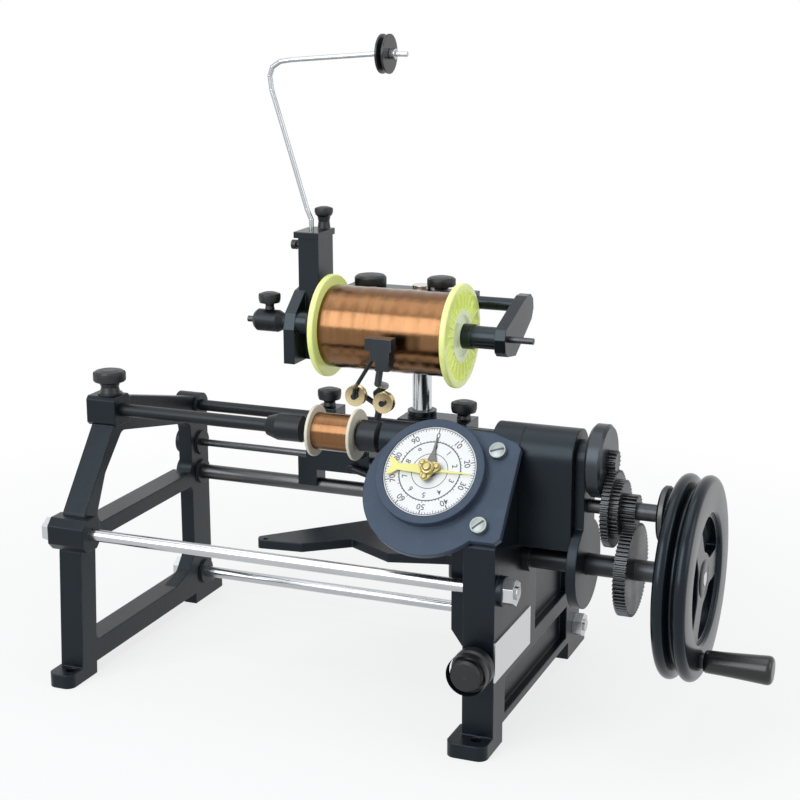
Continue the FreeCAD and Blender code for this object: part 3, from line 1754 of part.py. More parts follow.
# ---------------------------------------------------------------- stand block and post
post_seat = D.top_rail_z + D.tie_rod_radius + 0.5
node(
    "stand_block",
    cut(
        "stand_block",
        join(
            "stand_block_body",
            block(
                "stand_slab",
                (D.stand_left, D.carriage_front, D.top_rail_z - 10),
                (D.stand_right, D.post_y + 13, D.stand_top),
            ),
            rod("stand_boss", D.post_radius + 4, 6, (D.post_x, D.post_y, D.stand_top - 1)),
        ),
        span("stand_rail_bore", rod_hole, D.stand_left - 1, D.stand_right + 1, D.rear_rod_y, D.top_rail_z),
        rod("post_socket", D.post_radius + D.gap, 30, (D.post_x, D.post_y, post_seat)),
    ),
)
node(
    "stand_knob",
    mushroom(
        "stand_knob",
        D.stand_knob_radius,
        6,
        15,
        0.62,
        2.5,
        0.5,
        (D.stand_knob_x, D.post_y, D.stand_top + 0.8),
    ),
)
node(
    "spool_post",
    rod(
        "spool_post",
        D.post_radius,
        D.post_top - post_seat - D.seat_gap,
        (D.post_x, D.post_y, post_seat + D.seat_gap),
    ),
)

# ---------------------------------------------------------------- spool holder
holder_top = D.holder_bar_z + D.holder_half
bar_hole = D.holder_bar_radius + D.gap
holder_low = (D.holder_left, D.post_y - D.holder_half, D.holder_bar_z - D.holder_half)
holder_high = (D.holder_right, D.post_y + D.holder_half, holder_top)
BAR = (D.post_y, D.holder_bar_z)
node(
    "holder_clamp",
    cut(
        "holder_clamp",
        join(
            "holder_body",
            block("holder_slab", holder_low, holder_high),
            rod("holder_boss", D.post_radius + 3.5, 22, (D.post_x, D.post_y, holder_top - 22)),
        ),
        rod("holder_post_bore", D.post_radius + D.gap, 60, (D.post_x, D.post_y, holder_top - 40)),
        span("holder_bar_bore", bar_hole, D.holder_left - 1, D.holder_right + 1, *BAR),
    ),
)
bar_right_end = D.arm_left + D.arm_thick
left_bar = span("left_bar", D.holder_bar_radius, D.bar_left_end, D.bar_left_stop, *BAR)
right_bar = span("right_bar", D.holder_bar_radius, D.bar_right_stop, bar_right_end, *BAR)
for name, x, head, height in (
    ("holder_knob_left", D.holder_knob_left_x, Size.of(13), 8.4),
    ("holder_knob_right", D.holder_knob_right_x, Size.of(11.5), 10.4),
):
    node(name, mushroom(name, head, 6, height, 0.7, 2.5, 0.5, (x, D.post_y, holder_top + 0.8)))

# right arm: cheek from the bar to the spool shaft, with a sleeve and the disc that stops the spool
disc_left = D.spool_right + 1
disc_right = disc_left + D.arm_disc_thick
arm_body = join(
    "arm_body",
    right_bar,
    prism(
        "arm_plate",
        [
            (D.spool_y - 4, D.spool_z - 13),
            (D.spool_y - 9, D.spool_z - 9),
            (D.spool_y - 11, D.spool_z + 1),
            (D.spool_y - 8, D.spool_z + 9),
            (D.post_y - 16, D.holder_bar_z + 7),
            (D.post_y - 8, D.holder_bar_z + 9.5),
            (D.post_y + 2, D.holder_bar_z + 9.5),
            (D.post_y + 8, D.holder_bar_z + 5),
            (D.post_y + 9.5, D.holder_bar_z - 3),
            (D.post_y + 5, D.holder_bar_z - 11),
            (D.spool_y + 16, D.spool_z - 16),
        ],
        D.arm_thick,
        (D.arm_left, 0, 0),
        "X",
    ),
    span("arm_hub", D.arm_sleeve, disc_right - 0.1, D.arm_left + 1, D.spool_y, D.spool_z),
    span("arm_stop", D.arm_disc, disc_left, disc_right, D.spool_y, D.spool_z),
)
shaft_hole = D.spool_shaft_radius + D.gap
node(
    "right_arm",
    cut(
        "right_arm",
        arm_body,
        span("arm_shaft_hole", shaft_hole, D.spool_right, bar_right_end + 1, D.spool_y, D.spool_z),
    ),
)

# wire column: bracket on the bar, shaft bearing and the upright that holds the wire arm
column_plate = prism(
    "column_plate",
    [
        (D.spool_y - 12, D.spool_z - 32),
        (D.spool_y - 12, D.spool_z - 4),
        (D.spool_y - 8, D.spool_z + 9),
        (D.column_front, D.spool_z + 24),
        (D.post_y - 6, D.holder_bar_z + 14),
        (D.post_y + 10, D.holder_bar_z + 10),
        (D.post_y + 10, D.holder_bar_z - 11),
        (D.column_back, D.spool_z - 10),
        (D.spool_y + 12, D.spool_z - 32),
    ],
    9.5,
    (D.column_left - 4, 0, 0),
    "X",
)
column_body = join(
    "column_body",
    left_bar,
    column_plate,
    block(
        "column_upright",
        (D.column_left, D.column_front, D.spool_z - 32),
        (D.column_right, D.column_back, D.column_top),
    ),
    block(
        "column_cap",
        (D.column_left - 3, D.column_front - 2, D.column_top - 1),
        (D.column_right + 1, D.column_back + 2, D.column_top + 4),
    ),
    span("column_boss", 10, D.column_left - 4, D.column_right - 3, D.spool_y, D.spool_z),
)
arm_foot = D.column_top - 16
node(
    "wire_column",
    cut(
        "wire_column",
        column_body,
        span("column_shaft_hole", shaft_hole, D.column_left - 10, D.column_right + 5, D.spool_y, D.spool_z),
        rod(
            "wire_arm_hole",
            D.wire_arm_radius + D.gap,
            40,
            (D.wire_arm_x, D.wire_arm_y, arm_foot),
        ),
        rod("thumb_hole", 2 + D.gap, 12, (D.column_left - 5, D.wire_arm_y, D.column_top - 9), "X"),
    ),
)
node(
    "thumb_screw",
    join(
        "thumb_screw",
        span(
            "thumb_bar",
            2,
            D.column_left - 9,
            D.wire_arm_x - D.wire_arm_radius - D.seat_gap,
            D.wire_arm_y,
            D.column_top - 9,
        ),
        span("thumb_head", 3.9, D.column_left - 12, D.column_left - 8, D.wire_arm_y, D.column_top - 9),
        span(
            "thumb_neck",
            2.9,
            D.column_left - 3,
            D.column_left - D.seat_gap,
            D.wire_arm_y,
            D.column_top - 9,
        ),
    ),
)
node(
    "column_knob",
    mushroom(
        "column_knob",
        7.3,
        5.3,
        17.5,
        0.36,
        2,
        0.3,
        (D.column_right - 4.7, D.column_back - 6.5, D.column_top + 4.6),
    ),
)

# spool, shaft and collar
node(
    "spool_shaft",
    span(
        "spool_shaft",
        D.spool_shaft_radius,
        D.spool_shaft_left,
        D.spool_shaft_right,
        D.spool_y,
        D.spool_z,
    ),
)
collar_length = D.column_left - 4 - D.seat_gap - D.collar_left
shoulder = D.collar_right - D.collar_left
node(
    "lock_collar",
    cut(
        "lock_collar",
        turned(
            "lock_collar_body",
            [
                (shaft_hole, 0),
                (D.collar_radius - 2, 0),
                (D.collar_radius, 2.5),
                (D.collar_radius, shoulder - 6),
                (D.collar_radius - 3, shoulder),
                (D.collar_radius - 3, collar_length),
                (shaft_hole, collar_length),
            ],
            (D.collar_left, D.spool_y, D.spool_z),
            "X",
        ),
        rod("collar_knob_hole", 2 + D.gap, 20, (D.collar_knob_x, D.spool_y, D.spool_z)),
    ),
)
knob_seat = D.spool_z + D.collar_radius + D.seat_gap
node(
    "collar_knob",
    mushroom(
        "collar_knob",
        8.8,
        4,
        14,
        0.6,
        2,
        D.collar_radius - D.spool_shaft_radius,
        (D.collar_knob_x, D.spool_y, knob_seat),
    ),
)
spool_width = D.spool_right - D.spool_left
spool_boss = D.spool_left - D.column_right + 3 - D.seat_gap * 2
node(
    "supply_spool",
    turned(
        "supply_spool",
        [
            (shaft_hole, -spool_boss + 0.3),
            (6, -spool_boss + 0.3),
            (6, 0),
            (D.spool_flange - 1.5, 0),
            (D.spool_flange, 1.5),
            (D.spool_flange, D.spool_flange_thick - 1),
            (D.spool_flange - 1, D.spool_flange_thick),
            (D.spool_core, D.spool_flange_thick),
            (D.spool_core, spool_width - D.spool_flange_thick),
            (D.spool_flange - 1, spool_width - D.spool_flange_thick),
            (D.spool_flange, spool_width - D.spool_flange_thick + 1),
            (D.spool_flange, spool_width - 1.5),
            (D.spool_flange - 1.5, spool_width),
            (14, spool_width),
            (8, spool_width + 0.7),
            (shaft_hole, spool_width + 0.7),
        ],
        (D.spool_left, D.spool_y, D.spool_z),
        "X",
    ),
)
node(
    "spool_winding",
    coil(
        "spool_winding",
        D.spool_core + D.gap,
        D.spool_coil,
        D.spool_left + D.spool_flange_thick,
        D.spool_right - D.spool_flange_thick,
        D.spool_y,
        D.spool_z,
    ),
)

# ---------------------------------------------------------------- wire arm and sheave
arm_end = D.sheave_x + 18
arm_path = [
    (D.wire_arm_x, arm_foot - 2.5),
    (D.wire_arm_x, D.column_top + 12),
    (D.wire_arm_x - 3.5, D.column_top + 20),
    (D.wire_arm_x - 18, D.column_top + 67),
    (D.wire_arm_x - 33, D.wire_arm_top - 30),
    (D.wire_arm_x - 34.5, D.wire_arm_top - 19),
    (D.wire_arm_x - 32, D.wire_arm_top - 12),
    (D.wire_arm_x - 25, D.wire_arm_top - 7.5),
    (D.wire_arm_x - 15, D.wire_arm_top - 6),
    (D.sheave_x - 12, D.wire_arm_top - 0.5),
    (D.sheave_x - 8, D.wire_arm_top),
    (arm_end, D.wire_arm_top),
]
arm_bars = [
    strut(
        f"wire_arm_{n}",
        D.wire_arm_radius,
        (start[0], D.wire_arm_y, start[1]),
        (end[0], D.wire_arm_y, end[1]),
    )
    for n, (start, end) in enumerate(zip(arm_path, arm_path[1:]))
]
sheave_left = D.sheave_x - D.sheave_thick / 2
sheave_line = (D.wire_arm_y, D.wire_arm_top)
node(
    "wire_arm",
    cut(
        "wire_arm",
        join(
            "wire_arm_body",
            *arm_bars,
            span("sheave_stop", 3.6, sheave_left - 3, sheave_left - D.seat_gap, *sheave_line),
            span(
                "sheave_nut",
                4.2,
                sheave_left + D.sheave_thick + D.seat_gap,
                sheave_left + D.sheave_thick + 5,
                *sheave_line,
            ),
        ),
        block(
            "arm_foot_trim",
            (D.wire_arm_x - 9, D.wire_arm_y - 9, arm_foot - 9),
            (D.wire_arm_x + 9, D.wire_arm_y + 9, arm_foot + 0.3),
        ),
    ),
)
node(
    "wire_sheave",
    grooved(
        "wire_sheave",
        D.sheave_radius,
        D.wire_arm_radius + D.gap,
        D.sheave_thick,
        4.5,
        (sheave_left, *sheave_line),
        "X",
    ),
)

# ---------------------------------------------------------------- checks and export
doc.recompute()
faults = [o.Label for o in doc.Objects if "Invalid" in o.State or "Error" in o.State]
if faults:
    raise RuntimeError(f"objects that failed: {faults}")
for name, piece in nodes.items():
    if piece.Shape.isNull() or not piece.Shape.isValid() or not piece.Shape.Solids:
        raise RuntimeError(f"{name} is not a valid solid")

os.makedirs("parts", exist_ok=True)
for name, piece in nodes.items():
    piece.Shape.exportStep(f"parts/{name}.step")
print(len(nodes), "sub-parts written")
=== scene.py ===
import math

import bmesh
import bpy
from bpy.props import FloatProperty, FloatVectorProperty, IntProperty, PointerProperty
from mathutils import Matrix, Vector


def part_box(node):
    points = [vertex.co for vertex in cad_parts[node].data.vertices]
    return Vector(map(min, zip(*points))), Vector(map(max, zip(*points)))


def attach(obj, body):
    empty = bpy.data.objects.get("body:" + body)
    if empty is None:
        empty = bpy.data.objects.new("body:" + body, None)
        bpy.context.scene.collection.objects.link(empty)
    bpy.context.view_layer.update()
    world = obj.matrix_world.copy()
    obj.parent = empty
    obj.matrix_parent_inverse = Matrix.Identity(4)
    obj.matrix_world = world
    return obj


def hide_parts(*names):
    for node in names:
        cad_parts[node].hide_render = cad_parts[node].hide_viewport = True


bl_info = {
    "name": "Coil winder",
    "version": (1, 0, 0),
    "blender": (4, 5, 0),
    "location": "View3D > Sidebar > Coil winder",
    "description": "Dresses a hand-cranked coil winder: castings, rods, gears, dial, wire and spools",
    "category": "Object",
}

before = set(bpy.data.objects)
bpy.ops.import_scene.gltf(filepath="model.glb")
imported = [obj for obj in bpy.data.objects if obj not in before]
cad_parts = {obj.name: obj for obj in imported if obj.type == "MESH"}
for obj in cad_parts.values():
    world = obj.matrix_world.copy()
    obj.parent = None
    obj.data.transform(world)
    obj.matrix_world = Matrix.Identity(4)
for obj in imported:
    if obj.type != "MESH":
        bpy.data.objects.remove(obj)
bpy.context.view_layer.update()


def middle(node):
    """Centre of a CAD node's box."""
    low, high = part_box(node)
    return (low + high) / 2


# Centre lines of the machine, in metres, read from the parts that lie on them.
WINDING_LINE = middle("bobbin")
INPUT_LINE = middle("handwheel")
SPOOL_LINE = middle("spool_winding")

# The dial: its centre, how far it leans, and its own right, up and outward directions.
DIAL_CENTRE = middle("dial_face")
DIAL_LEAN = math.radians(50.4)
DIAL_RIGHT = Vector((1, 0, 0))
DIAL_UP = Vector((0, math.cos(DIAL_LEAN), math.sin(DIAL_LEAN)))
DIAL_OUT = Vector((0, -math.sin(DIAL_LEAN), math.cos(DIAL_LEAN)))
DIAL_TURN = Matrix((DIAL_RIGHT, DIAL_UP, DIAL_OUT)).transposed().to_4x4()


# ---------------------------------------------------------------- settings
class CastingSettings(bpy.types.PropertyGroup):
    enamel: FloatVectorProperty(
        name="Enamel", description="Colour of the painted castings", subtype="COLOR", size=3,
        default=(0.0035, 0.0055, 0.0085), min=0, max=1)
    worn: FloatVectorProperty(
        name="Worn edge", description="Colour where the enamel has rubbed thin on edges",
        subtype="COLOR", size=3,
        default=(0.05, 0.062, 0.078), min=0, max=1)
    # Painted sheen: this lighter enamel, about ten times lighter than the castings' own, stands in for the
    # light the dial plate's upward-leaning face catches.
    plate: FloatVectorProperty(
        name="Dial plate", description="Colour of the lighter enamel on the dial plate",
        subtype="COLOR", size=3,
        default=(0.04, 0.056, 0.086), min=0, max=1)
    edge: FloatProperty(
        name="Edge radius", description="Softness of the cast edges",
        default=0.0016, min=0, unit="LENGTH")
    grain: FloatProperty(
        name="Sand grain", description="Depth of the cast skin under the enamel",
        default=0.00012, min=0, unit="LENGTH")


class MetalSettings(bpy.types.PropertyGroup):
    bright: FloatVectorProperty(
        name="Bright steel", description="Colour of the plated rods, post and nuts",
        subtype="COLOR", size=3,
        default=(0.62, 0.64, 0.66), min=0, max=1)
    dark: FloatVectorProperty(
        name="Blackened steel", description="Colour of the black-oxide parts",
        subtype="COLOR", size=3,
        default=(0.011, 0.0135, 0.016), min=0, max=1)
    brass: FloatVectorProperty(
        name="Brass", description="Colour of the pulleys, bushes and dial hub",
        subtype="COLOR", size=3,
        default=(0.76, 0.62, 0.36), min=0, max=1)


class WireSettings(bpy.types.PropertyGroup):
    copper: FloatVectorProperty(
        name="Copper", description="Colour of the enamelled winding wire", subtype="COLOR", size=3,
        default=(0.16, 0.062, 0.03), min=0, max=1)
    glow: FloatVectorProperty(
        name="Light turns", description="Colour of the lighter turns", subtype="COLOR", size=3,
        default=(0.36, 0.24, 0.11), min=0, max=1)
    pitch: FloatProperty(
        name="Turn pitch", description="Distance between neighbouring turns of wire",
        default=0.0006,
        min=0.0003, unit="LENGTH")


class SpoolSettings(bpy.types.PropertyGroup):
    flange: FloatVectorProperty(
        name="Flange", description="Colour of the supply spool's translucent flanges",
        subtype="COLOR", size=3,
        default=(0.78, 0.86, 0.3), min=0, max=1)
    hub: FloatVectorProperty(
        name="Hub web", description="Paler colour inside the flange's ribs",
        subtype="COLOR", size=3,
        default=(0.8, 0.88, 0.58), min=0, max=1)
    ribs: IntProperty(
        name="Ribs", description="Ribs on the flange's outer face",
        default=24, min=6, max=60)
    bobbin: FloatVectorProperty(
        name="Bobbin", description="Colour of the moulded coil bobbin", subtype="COLOR", size=3,
        default=(0.76, 0.7, 0.56), min=0, max=1)


class DialSettings(bpy.types.PropertyGroup):
    face: FloatVectorProperty(
        name="Face", description="Colour of the dial face", subtype="COLOR", size=3,
        default=(0.8, 0.81, 0.8), min=0, max=1)
    ink: FloatVectorProperty(
        name="Ink", description="Colour of the scale", subtype="COLOR", size=3,
        default=(0.07, 0.07, 0.085), min=0, max=1)
    pointer: FloatVectorProperty(
        name="Long pointer", description="Colour of the long pointer", subtype="COLOR", size=3,
        default=(0.8, 0.76, 0.24), min=0, max=1)
    divisions: IntProperty(
        name="Divisions", description="Marks on the outer scale",
        default=100, min=10, max=200)


class StageSettings(bpy.types.PropertyGroup):
    floor: FloatVectorProperty(
        name="Floor", description="Colour of the floor", subtype="COLOR", size=3,
        default=(0.83, 0.83, 0.83), min=0, max=1)
    key: FloatProperty(
        name="Key light", description="Power of the soft key light",
        default=34, min=0, unit="POWER")
    fill: FloatProperty(
        name="Fill light", description="Power of the soft fill light",
        default=8, min=0, unit="POWER")
    sky: FloatProperty(
        name="Room light", description="Strength of the even room light",
        default=0.3, min=0)


GROUPS = {
    "winder_casting": CastingSettings,
    "winder_metal": MetalSettings,
    "winder_wire": WireSettings,
    "winder_spool": SpoolSettings,
    "winder_dial": DialSettings,
    "winder_stage": StageSettings,
}


# ---------------------------------------------------------------- shader workshop
class Signal:
    """A node's output that takes part in sums."""

    def __init__(self, nodes, socket):
        self.nodes = nodes
        self.socket = socket

    def _math(self, operation, first, second):
        return self.nodes.add("Math", {"operation": operation}, {0: first, 1: second})

    def __add__(self, other):
        return self._math("ADD", self, other)

    def __radd__(self, other):
        return self._math("ADD", other, self)

    def __sub__(self, other):
        return self._math("SUBTRACT", self, other)

    def __rsub__(self, other):
        return self._math("SUBTRACT", other, self)

    def __mul__(self, other):
        return self._math("MULTIPLY", self, other)

    def __rmul__(self, other):
        return self._math("MULTIPLY", other, self)

    def __truediv__(self, other):
        return self._math("DIVIDE", self, other)

    def __rtruediv__(self, other):
        return self._math("DIVIDE", other, self)

    def __pow__(self, other):
        return self._math("POWER", self, other)

    def __rpow__(self, other):
        return self._math("POWER", other, self)


class Nodes:
    """A node tree and the one way to add to it."""

    def __init__(self, tree):
        self.tree = tree
        tree.nodes.clear()

    def add(self, kind, settings=None, inputs=None, out=0):
        """A node of any kind: its settings first, then its sockets; gives one of its outputs."""
        node = self.tree.nodes.new("ShaderNode" + kind)
        for key, value in (settings or {}).items():
            if key == "stops":
                ramp = node.color_ramp
                while len(ramp.elements) < len(value):
                    ramp.elements.new(0.5)
                for element, (position, colour) in zip(ramp.elements, value):
                    element.position = position
                    element.color = (*colour, 1) if len(colour) == 3 else colour
            else:
                setattr(node, key, value)
        for key, value in (inputs or {}).items():
            self.put(node.inputs[key], value)
        return Signal(self, node.outputs[out])

    def put(self, socket, value):
        if isinstance(value, Signal):
            self.tree.links.new(value.socket, socket)
        elif hasattr(value, "__len__") and socket.type == "RGBA" and len(value) == 3:
            socket.default_value = (*value, 1)
        else:
            socket.default_value = value

    def end(self, kind, surface):
        """The tree's output node, fed by a shader."""
        output = self.tree.nodes.new("ShaderNodeOutput" + kind)
        self.put(output.inputs["Surface"], surface)
        return output

    def showing(self):
        """1 for rays that show the background: to the camera, off metal and through glass."""
        camera, glossy, through = [
            self.add("LightPath", out=f"Is {kind} Ray") for kind in ("Camera", "Glossy", "Transmission")]
        return self.add("Math", {"operation": "MAXIMUM"}, {0: camera + glossy, 1: through})


class Finish(Nodes):
    """One material, built node by node round a Principled shader."""

    def __init__(self, name):
        self.material = bpy.data.materials.new(name)
        self.material.use_nodes = True
        super().__init__(self.material.node_tree)
        self.surface = self.add("BsdfPrincipled")
        self.shader = self.surface.socket.node
        self.output = self.end("Material", self.surface)
        self._place = None

    def set(self, **values):
        """Sets or links the shader's own sockets, by their names with underscores."""
        for key, value in values.items():
            self.put(self.shader.inputs[key.replace("_", " ")], value)
        return self

    @property
    def place(self):
        if self._place is None:
            self._place = self.add("TexCoord", out="Object")
        return self._place

    def noise(self, scale, detail=4, rough=0.55, at=None):
        where = at or self.place
        sockets = {"Vector": where, "Scale": scale, "Detail": detail, "Roughness": rough}
        return self.add("TexNoise", None, sockets)

    def axis(self, letter):
        return self.add("SeparateXYZ", None, {0: self.place}, "XYZ".index(letter))

    def stretched(self, x, y, z):
        return self.add("VectorMath", {"operation": "MULTIPLY"}, {0: self.place, 1: (x, y, z)})

    def mix(self, share, low, high):
        return self.add("Mix", {"data_type": "RGBA"}, {0: share, 6: low, 7: high}, out=2)

    def steps(self, share, *stops):
        """A smooth ramp from a value to another value or colour."""
        return self.add("ValToRGB", {"stops": stops}, {0: share})

    def level(self, share, low, high):
        """Spreads a 0..1 signal between two levels."""
        return self.add("MapRange", None, {0: share, 3: low, 4: high})

    def rounded(self, radius):
        return self.add("Bevel", {"samples": 6}, {"Radius": radius})

    def edges(self, radius):
        """1 along the sharp edges of a piece, 0 on its faces."""
        soft = self.rounded(radius)
        true = self.add("NewGeometry", out="True Normal")
        turn = self.add("VectorMath", {"operation": "DOT_PRODUCT"}, {0: soft, 1: true}, out="Value")
        return self.add("MapRange", None, {0: turn, 1: 0.995, 2: 0.8, 3: 0.0, 4: 1.0})

    def bump(self, height, depth, normal=None):
        sockets = {"Strength": 1.0, "Distance": depth, "Height": height}
        if normal is not None:
            sockets["Normal"] = normal
        return self.add("Bump", None, sockets)


def enamel(name, colour, worn, edge, grain, gloss=0.32, sheen=0.3):
    """Slate-black enamel over a sand-cast skin, with rubbed edges and faint smears."""
    f = Finish(name)
    cloud = f.noise(14, 5)
    smear = f.noise(3.2, 6, 0.6, f.stretched(30, 30, 9))
    rub = f.edges(edge) * f.steps(f.noise(60, 6), (0.38, (0, 0, 0)), (0.62, (1, 1, 1)))
    shade = f.mix(cloud, [c * 0.72 for c in colour], [c * 1.35 for c in colour])
    smeared = f.steps(smear, (0.5, (0, 0, 0)), (0.8, (0.35, 0.35, 0.35)))
    dusty = f.mix(smeared, shade, [c * 2.0 for c in colour])
    skin = f.noise(420, 5) * 0.6 + f.noise(95, 3) * 0.8
    f.set(
        Base_Color=f.mix(rub * 0.75, dusty, worn),
        Roughness=f.level(cloud, gloss - 0.06, gloss + 0.1) + rub * 0.12,
        Specular_IOR_Level=sheen,
        Specular_Tint=(0.76, 0.9, 1.0, 1.0),
        Normal=f.bump(skin, grain, f.rounded(edge)),
    )
    return f.material


def turned(name, colour, rough, lines_along="X", metallic=1.0, scale=900, edge=0.0004, stain=0.3):
    """Turned metal with fine lathe lines round its length, a few scratches and finger marks."""
    f = Finish(name)
    stretch = {"X": (scale, 6, 6), "Y": (6, scale, 6), "Z": (6, 6, scale)}[lines_along]
    lines = f.noise(1.0, 3, 0.7, f.stretched(*stretch))
    marks = f.steps(f.noise(22, 6, 0.62), (0.42, (0, 0, 0)), (0.74, (1, 1, 1)))
    tone = f.mix(marks * stain, colour, [c * 0.62 for c in colour])
    f.set(
        Base_Color=tone,
        Metallic=metallic,
        Roughness=f.level(lines, rough - 0.05, rough + 0.1) + marks * 0.12,
        Normal=f.bump(lines, 0.00003, f.rounded(edge)),
    )
    return f.material


def blackened(name, colour, rough=0.38, edge=0.0005):
    """Black-oxide steel, cloudy darker and lighter at random, and grey where it is handled."""
    f = Finish(name)
    rub = f.edges(edge * 1.6) * f.steps(f.noise(90, 5), (0.35, (0, 0, 0)), (0.6, (1, 1, 1)))
    cloud = f.noise(30, 5)
    oxide = f.mix(cloud, [c * 0.6 for c in colour], [c * 1.5 for c in colour])
    f.set(
        Base_Color=f.mix(rub * 0.8, oxide, (0.2, 0.21, 0.22)),
        Metallic=0.55,
        Roughness=f.level(cloud, rough - 0.08, rough + 0.1),
        Normal=f.bump(f.noise(600, 3), 0.00002, f.rounded(edge)),
    )
    return f.material


def moulded(name, colour, rough=0.3, edge=0.0006, clear=0.0, speck=0.15):
    """Moulded plastic with faint flow marks and scuffs."""
    f = Finish(name)
    flow = f.noise(9, 3, 0.5, f.stretched(3, 8, 8))
    scuff = f.steps(f.noise(70, 6, 0.66), (0.5, (0, 0, 0)), (0.72, (1, 1, 1)))
    dim, light = [c * (1 - speck) for c in colour], [min(1, c * (1 + speck)) for c in colour]
    f.set(
        Base_Color=f.mix(flow, dim, light),
        Roughness=f.level(flow, rough - 0.05, rough + 0.06) + scuff * 0.14,
        Coat_Weight=clear,
        Coat_Roughness=0.12,
        Normal=f.bump(scuff * 0.4 + f.noise(500, 2) * 0.3, 0.00002, f.rounded(edge)),
    )
    return f.material


def wound(name, copper, glow, pitch, start):
    """Enamelled copper wire: turn after turn along X, some turns lighter, with shallow wavy layers."""
    f = Finish(name)
    along = f.axis("X") - start
    turns = along / pitch
    phase = f.add("Math", {"operation": "FRACT"}, {0: turns})
    dip = f.add("Math", {"operation": "ABSOLUTE"}, {0: phase - 0.5}) * 2
    crown = 1 - dip ** 3
    number = f.add("Math", {"operation": "FLOOR"}, {0: turns})
    spread = f.add("CombineXYZ", None, {0: number * 0.37, 1: 0.0, 2: 0.0})
    single = f.add("TexWhiteNoise", {"noise_dimensions": "3D"}, {"Vector": spread})
    layer = f.noise(1.0, 4, 0.6, f.stretched(70, 14, 14))
    tone = f.mix(layer * 0.45 + single * 0.1, copper, glow)
    f.set(
        # Painted shade: the colour darkens towards the groove between neighbouring turns.
        Base_Color=f.mix(dip ** 4 * 0.3, tone, [c * 0.3 for c in copper]),
        Metallic=1.0,
        Roughness=f.level(single, 0.14, 0.22),
        Normal=f.bump(crown + layer * 0.3, pitch * 0.015),
    )
    return f.material


# ---------------------------------------------------------------- mesh workshop
def finish_mesh(name, bm, body, material, stands_for=(), smooth=True, bevel=0.0):
    """Turns a bmesh into a piece of the machine that rides on a body."""
    bmesh.ops.recalc_face_normals(bm, faces=bm.faces)
    mesh = bpy.data.meshes.new(name)
    bm.to_mesh(mesh)
    bm.free()
    piece = bpy.data.objects.new(name, mesh)
    bpy.context.scene.collection.objects.link(piece)
    mesh.materials.append(material)
    if smooth:
        mesh.polygons.foreach_set("use_smooth", [True] * len(mesh.polygons))
        mesh.set_sharp_from_angle(angle=math.radians(38))
    if bevel:
        chamfer = piece.modifiers.new("soft_edges", "BEVEL")
        chamfer.width = bevel
        chamfer.segments = 3
        chamfer.limit_method = "ANGLE"
        chamfer.angle_limit = math.radians(40)
        chamfer.harden_normals = False
    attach(piece, body)
    if stands_for:
        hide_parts(*stands_for)
    return piece


def basis(axis):
    """A rotation whose local Z is the axis and whose local Y is as near up as it can be."""
    w = Vector(axis).normalized()
    v = Vector((0, 0, 1)) if abs(w.z) < 0.9 else Vector((0, 1, 0))
    u = v.cross(w).normalized()
    v = w.cross(u).normalized()
    return Matrix((u, v, w)).transposed().to_4x4()


def circle(radius, count):
    """A round loop (u, v)."""
    angles = [2 * math.pi * n / count for n in range(count)]
    return [(radius * math.cos(a), radius * math.sin(a)) for a in angles]


def lathe(bm, profile, centre, axis, steps=96, closed=False):
    """Revolves (radius, height) points about an axis; closed joins the last point to the first."""
    turn = Matrix.Translation(centre) @ basis(axis)
    rings = []
    for radius, height in profile:
        points = circle(radius, steps) if radius > 1e-7 else [(0, 0)]
        rings.append([bm.verts.new(turn @ Vector((u, v, height))) for u, v in points])
    pairs = list(zip(rings, rings[1:]))
    if closed:
        pairs.append((rings[-1], rings[0]))
    for low, high in pairs:
        for n in range(steps):
            m = (n + 1) % steps
            corners = [low[n % len(low)], low[m % len(low)], high[m % len(high)], high[n % len(high)]]
            unique = list(dict.fromkeys(corners))
            if len(unique) > 2:
                bm.faces.new(unique)


def arc(centre, radius, start, end, count=8):
    """Points of an arc in a profile, angles in degrees from the outward direction."""
    points = []
    for n in range(count + 1):
        angle = math.radians(start + (end - start) * n / count)
        points.append((centre[0] + radius * math.cos(angle), centre[1] + radius * math.sin(angle)))
    return points


def slab(bm, outline, thickness, place):
    """A flat plate from an outline (u, v), raised along w."""
    low = [bm.verts.new(place @ Vector((u, v, 0))) for u, v in outline]
    high = [bm.verts.new(place @ Vector((u, v, thickness))) for u, v in outline]
    bm.faces.new(low[::-1])
    bm.faces.new(high)
    for n in range(len(outline)):
        m = (n + 1) % len(outline)
        bm.faces.new((low[n], low[m], high[m], high[n]))


def pierced(bm, loops, thickness, place):
    """A flat plate with an outer loop and openings (u, v), raised along w."""
    sides = []
    for height in (0, thickness):
        rings = [[bm.verts.new(place @ Vector((u, v, height))) for u, v in loop] for loop in loops]
        edges = [bm.edges.new(pair) for ring in rings for pair in zip(ring, ring[1:] + ring[:1])]
        bmesh.ops.triangle_fill(bm, use_beauty=True, edges=edges)
        sides.append(rings)
    for low, high in zip(*sides):
        for n in range(len(low)):
            m = (n + 1) % len(low)
            bm.faces.new((low[n], low[m], high[m], high[n]))


def kidney(middle, inner, outer, half_spoke):
    """A window between two spokes as a soft-cornered loop (u, v); middle is its angle."""
    wide = math.pi / 3 - math.asin(half_spoke / outer)
    slim = math.pi / 3 - math.asin(half_spoke / inner)
    corners = []
    for n in range(48):
        turn = -wide + 2 * wide * n / 47
        corners.append((outer, turn))
    for n in range(1, 18):
        share = n / 18
        corners.append((outer + (inner - outer) * share, wide + (slim - wide) * share))
    for n in range(20):
        corners.append((inner, slim - 2 * slim * n / 19))
    for n in range(1, 18):
        share = n / 18
        corners.append((inner + (outer - inner) * share, -slim - (wide - slim) * share))
    loop = [Vector((r * math.cos(middle + t), r * math.sin(middle + t))) for r, t in corners]
    for _ in range(26):
        loop = [(loop[n - 1] + loop[n] * 2 + loop[(n + 1) % len(loop)]) / 4 for n in range(len(loop))]
    return [(p.x, p.y) for p in loop]


